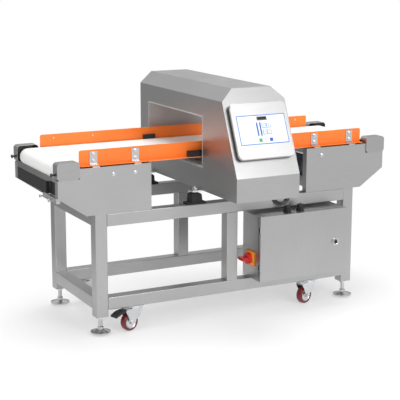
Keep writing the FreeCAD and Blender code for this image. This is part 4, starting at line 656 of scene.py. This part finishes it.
# %% Floor, lamps and world
def studio():
    """The floor, three soft lamps and a world that looks white."""
    bpy.ops.mesh.primitive_plane_add(size=60, location=(0, 0, 0))
    floor = bpy.context.object
    floor.name = "studio_floor"
    floor_material = bpy.data.materials.new("floor_paper")
    add, join, shader = start_tree(floor_material)
    paper = add("ShaderNodeTexNoise", in_Scale=1.5, in_Detail=4.0)
    where = add("ShaderNodeTexCoord")
    join(where.outputs["Object"], paper.inputs["Vector"])
    tone = ramp(add, ((0.3, grey(0.90)), (0.7, grey(0.92))))
    join(paper.outputs["Fac"], tone.inputs["Fac"])
    join(tone.outputs["Color"], shader.inputs["Base Color"])
    shader.inputs["Roughness"].default_value = 0.45
    length = add("ShaderNodeVectorMath", operation="LENGTH")
    join(where.outputs["Object"], length.inputs[0])
    fade = add("ShaderNodeMapRange", in_From_Min=0.8, in_From_Max=1.7, in_To_Min=0.45)
    join(length.outputs["Value"], fade.inputs["Value"])
    path = add("ShaderNodeLightPath")
    seen = add("ShaderNodeMath", operation="MAXIMUM")
    join(path.outputs["Is Camera Ray"], seen.inputs[0])
    join(path.outputs["Is Glossy Ray"], seen.inputs[1])
    amount = add("ShaderNodeMath", operation="MULTIPLY")
    join(fade.outputs["Result"], amount.inputs[0])
    join(seen.outputs[0], amount.inputs[1])
    split = add("ShaderNodeSeparateXYZ")
    join(where.outputs["Object"], split.inputs[0])
    behind = add("ShaderNodeMapRange", in_From_Min=0.2, in_From_Max=1.4, in_To_Min=1.0, in_To_Max=0.40)
    join(split.outputs["Y"], behind.inputs["Value"])
    level = add("ShaderNodeMath", operation="MAXIMUM")
    join(behind.outputs["Result"], level.inputs[0])
    join(path.outputs["Is Camera Ray"], level.inputs[1])
    white = add("ShaderNodeEmission")
    white.inputs["Color"].default_value = (1, 1, 1, 1)
    join(level.outputs[0], white.inputs["Strength"])
    mix = add("ShaderNodeMixShader")
    output = [item for item in floor_material.node_tree.nodes if item.type == "OUTPUT_MATERIAL"][0]
    join(amount.outputs[0], mix.inputs["Fac"])
    join(shader.outputs["BSDF"], mix.inputs[1])
    join(white.outputs["Emission"], mix.inputs[2])
    join(mix.outputs["Shader"], output.inputs["Surface"])
    floor.data.materials.append(floor_material)
    for name, place, target, size, watts in (
        ("key", (0.8, -4.2, 2.6), (0, 0, 0.5), 2.4, 90),
        ("fill", (-3.6, -1.8, 2.6), (0, 0, 0.5), 2.4, 28),
        ("top", (0.2, 0.4, 3.8), (0, 0.1, 0.5), 2.6, 75),
    ):
        lamp_data = bpy.data.lights.new(name + "_lamp", "AREA")
        lamp = bpy.data.objects.new(name + "_lamp", lamp_data)
        scene.collection.objects.link(lamp)
        lamp_data.shape = "DISK"
        lamp_data.size = size
        lamp_data.energy = watts
        lamp.location = place
        lamp.rotation_euler = (Vector(target) - Vector(place)).to_track_quat("-Z", "Y").to_euler()
    world = bpy.data.worlds.new("studio")
    scene.world = world
    world.use_nodes = True
    tree = world.node_tree
    background = tree.nodes["Background"]
    background.inputs["Color"].default_value = (1, 1, 1, 1)
    path = tree.nodes.new("ShaderNodeLightPath")
    seen = tree.nodes.new("ShaderNodeMath")
    seen.operation = "MAXIMUM"
    strength = tree.nodes.new("ShaderNodeMapRange")
    strength.inputs["To Max"].default_value = 1.0
    where = tree.nodes.new("ShaderNodeTexCoord")
    split = tree.nodes.new("ShaderNodeSeparateXYZ")
    height = tree.nodes.new("ShaderNodeMapRange")
    for socket, setting in (("From Min", 0.12), ("From Max", 0.55), ("To Min", 0.38), ("To Max", 0.80)):
        height.inputs[socket].default_value = setting
    tree.links.new(where.outputs["Generated"], split.inputs[0])
    tree.links.new(split.outputs["Z"], height.inputs["Value"])
    tree.links.new(height.outputs["Result"], strength.inputs["To Min"])
    tree.links.new(path.outputs["Is Camera Ray"], seen.inputs[0])
    tree.links.new(path.outputs["Is Transmission Ray"], seen.inputs[1])
    tree.links.new(seen.outputs[0], strength.inputs["Value"])
    tree.links.new(strength.outputs["Result"], background.inputs["Strength"])
    scene.view_settings.view_transform = "Standard"
    return floor


studio_floor = studio()
print("studio ready")
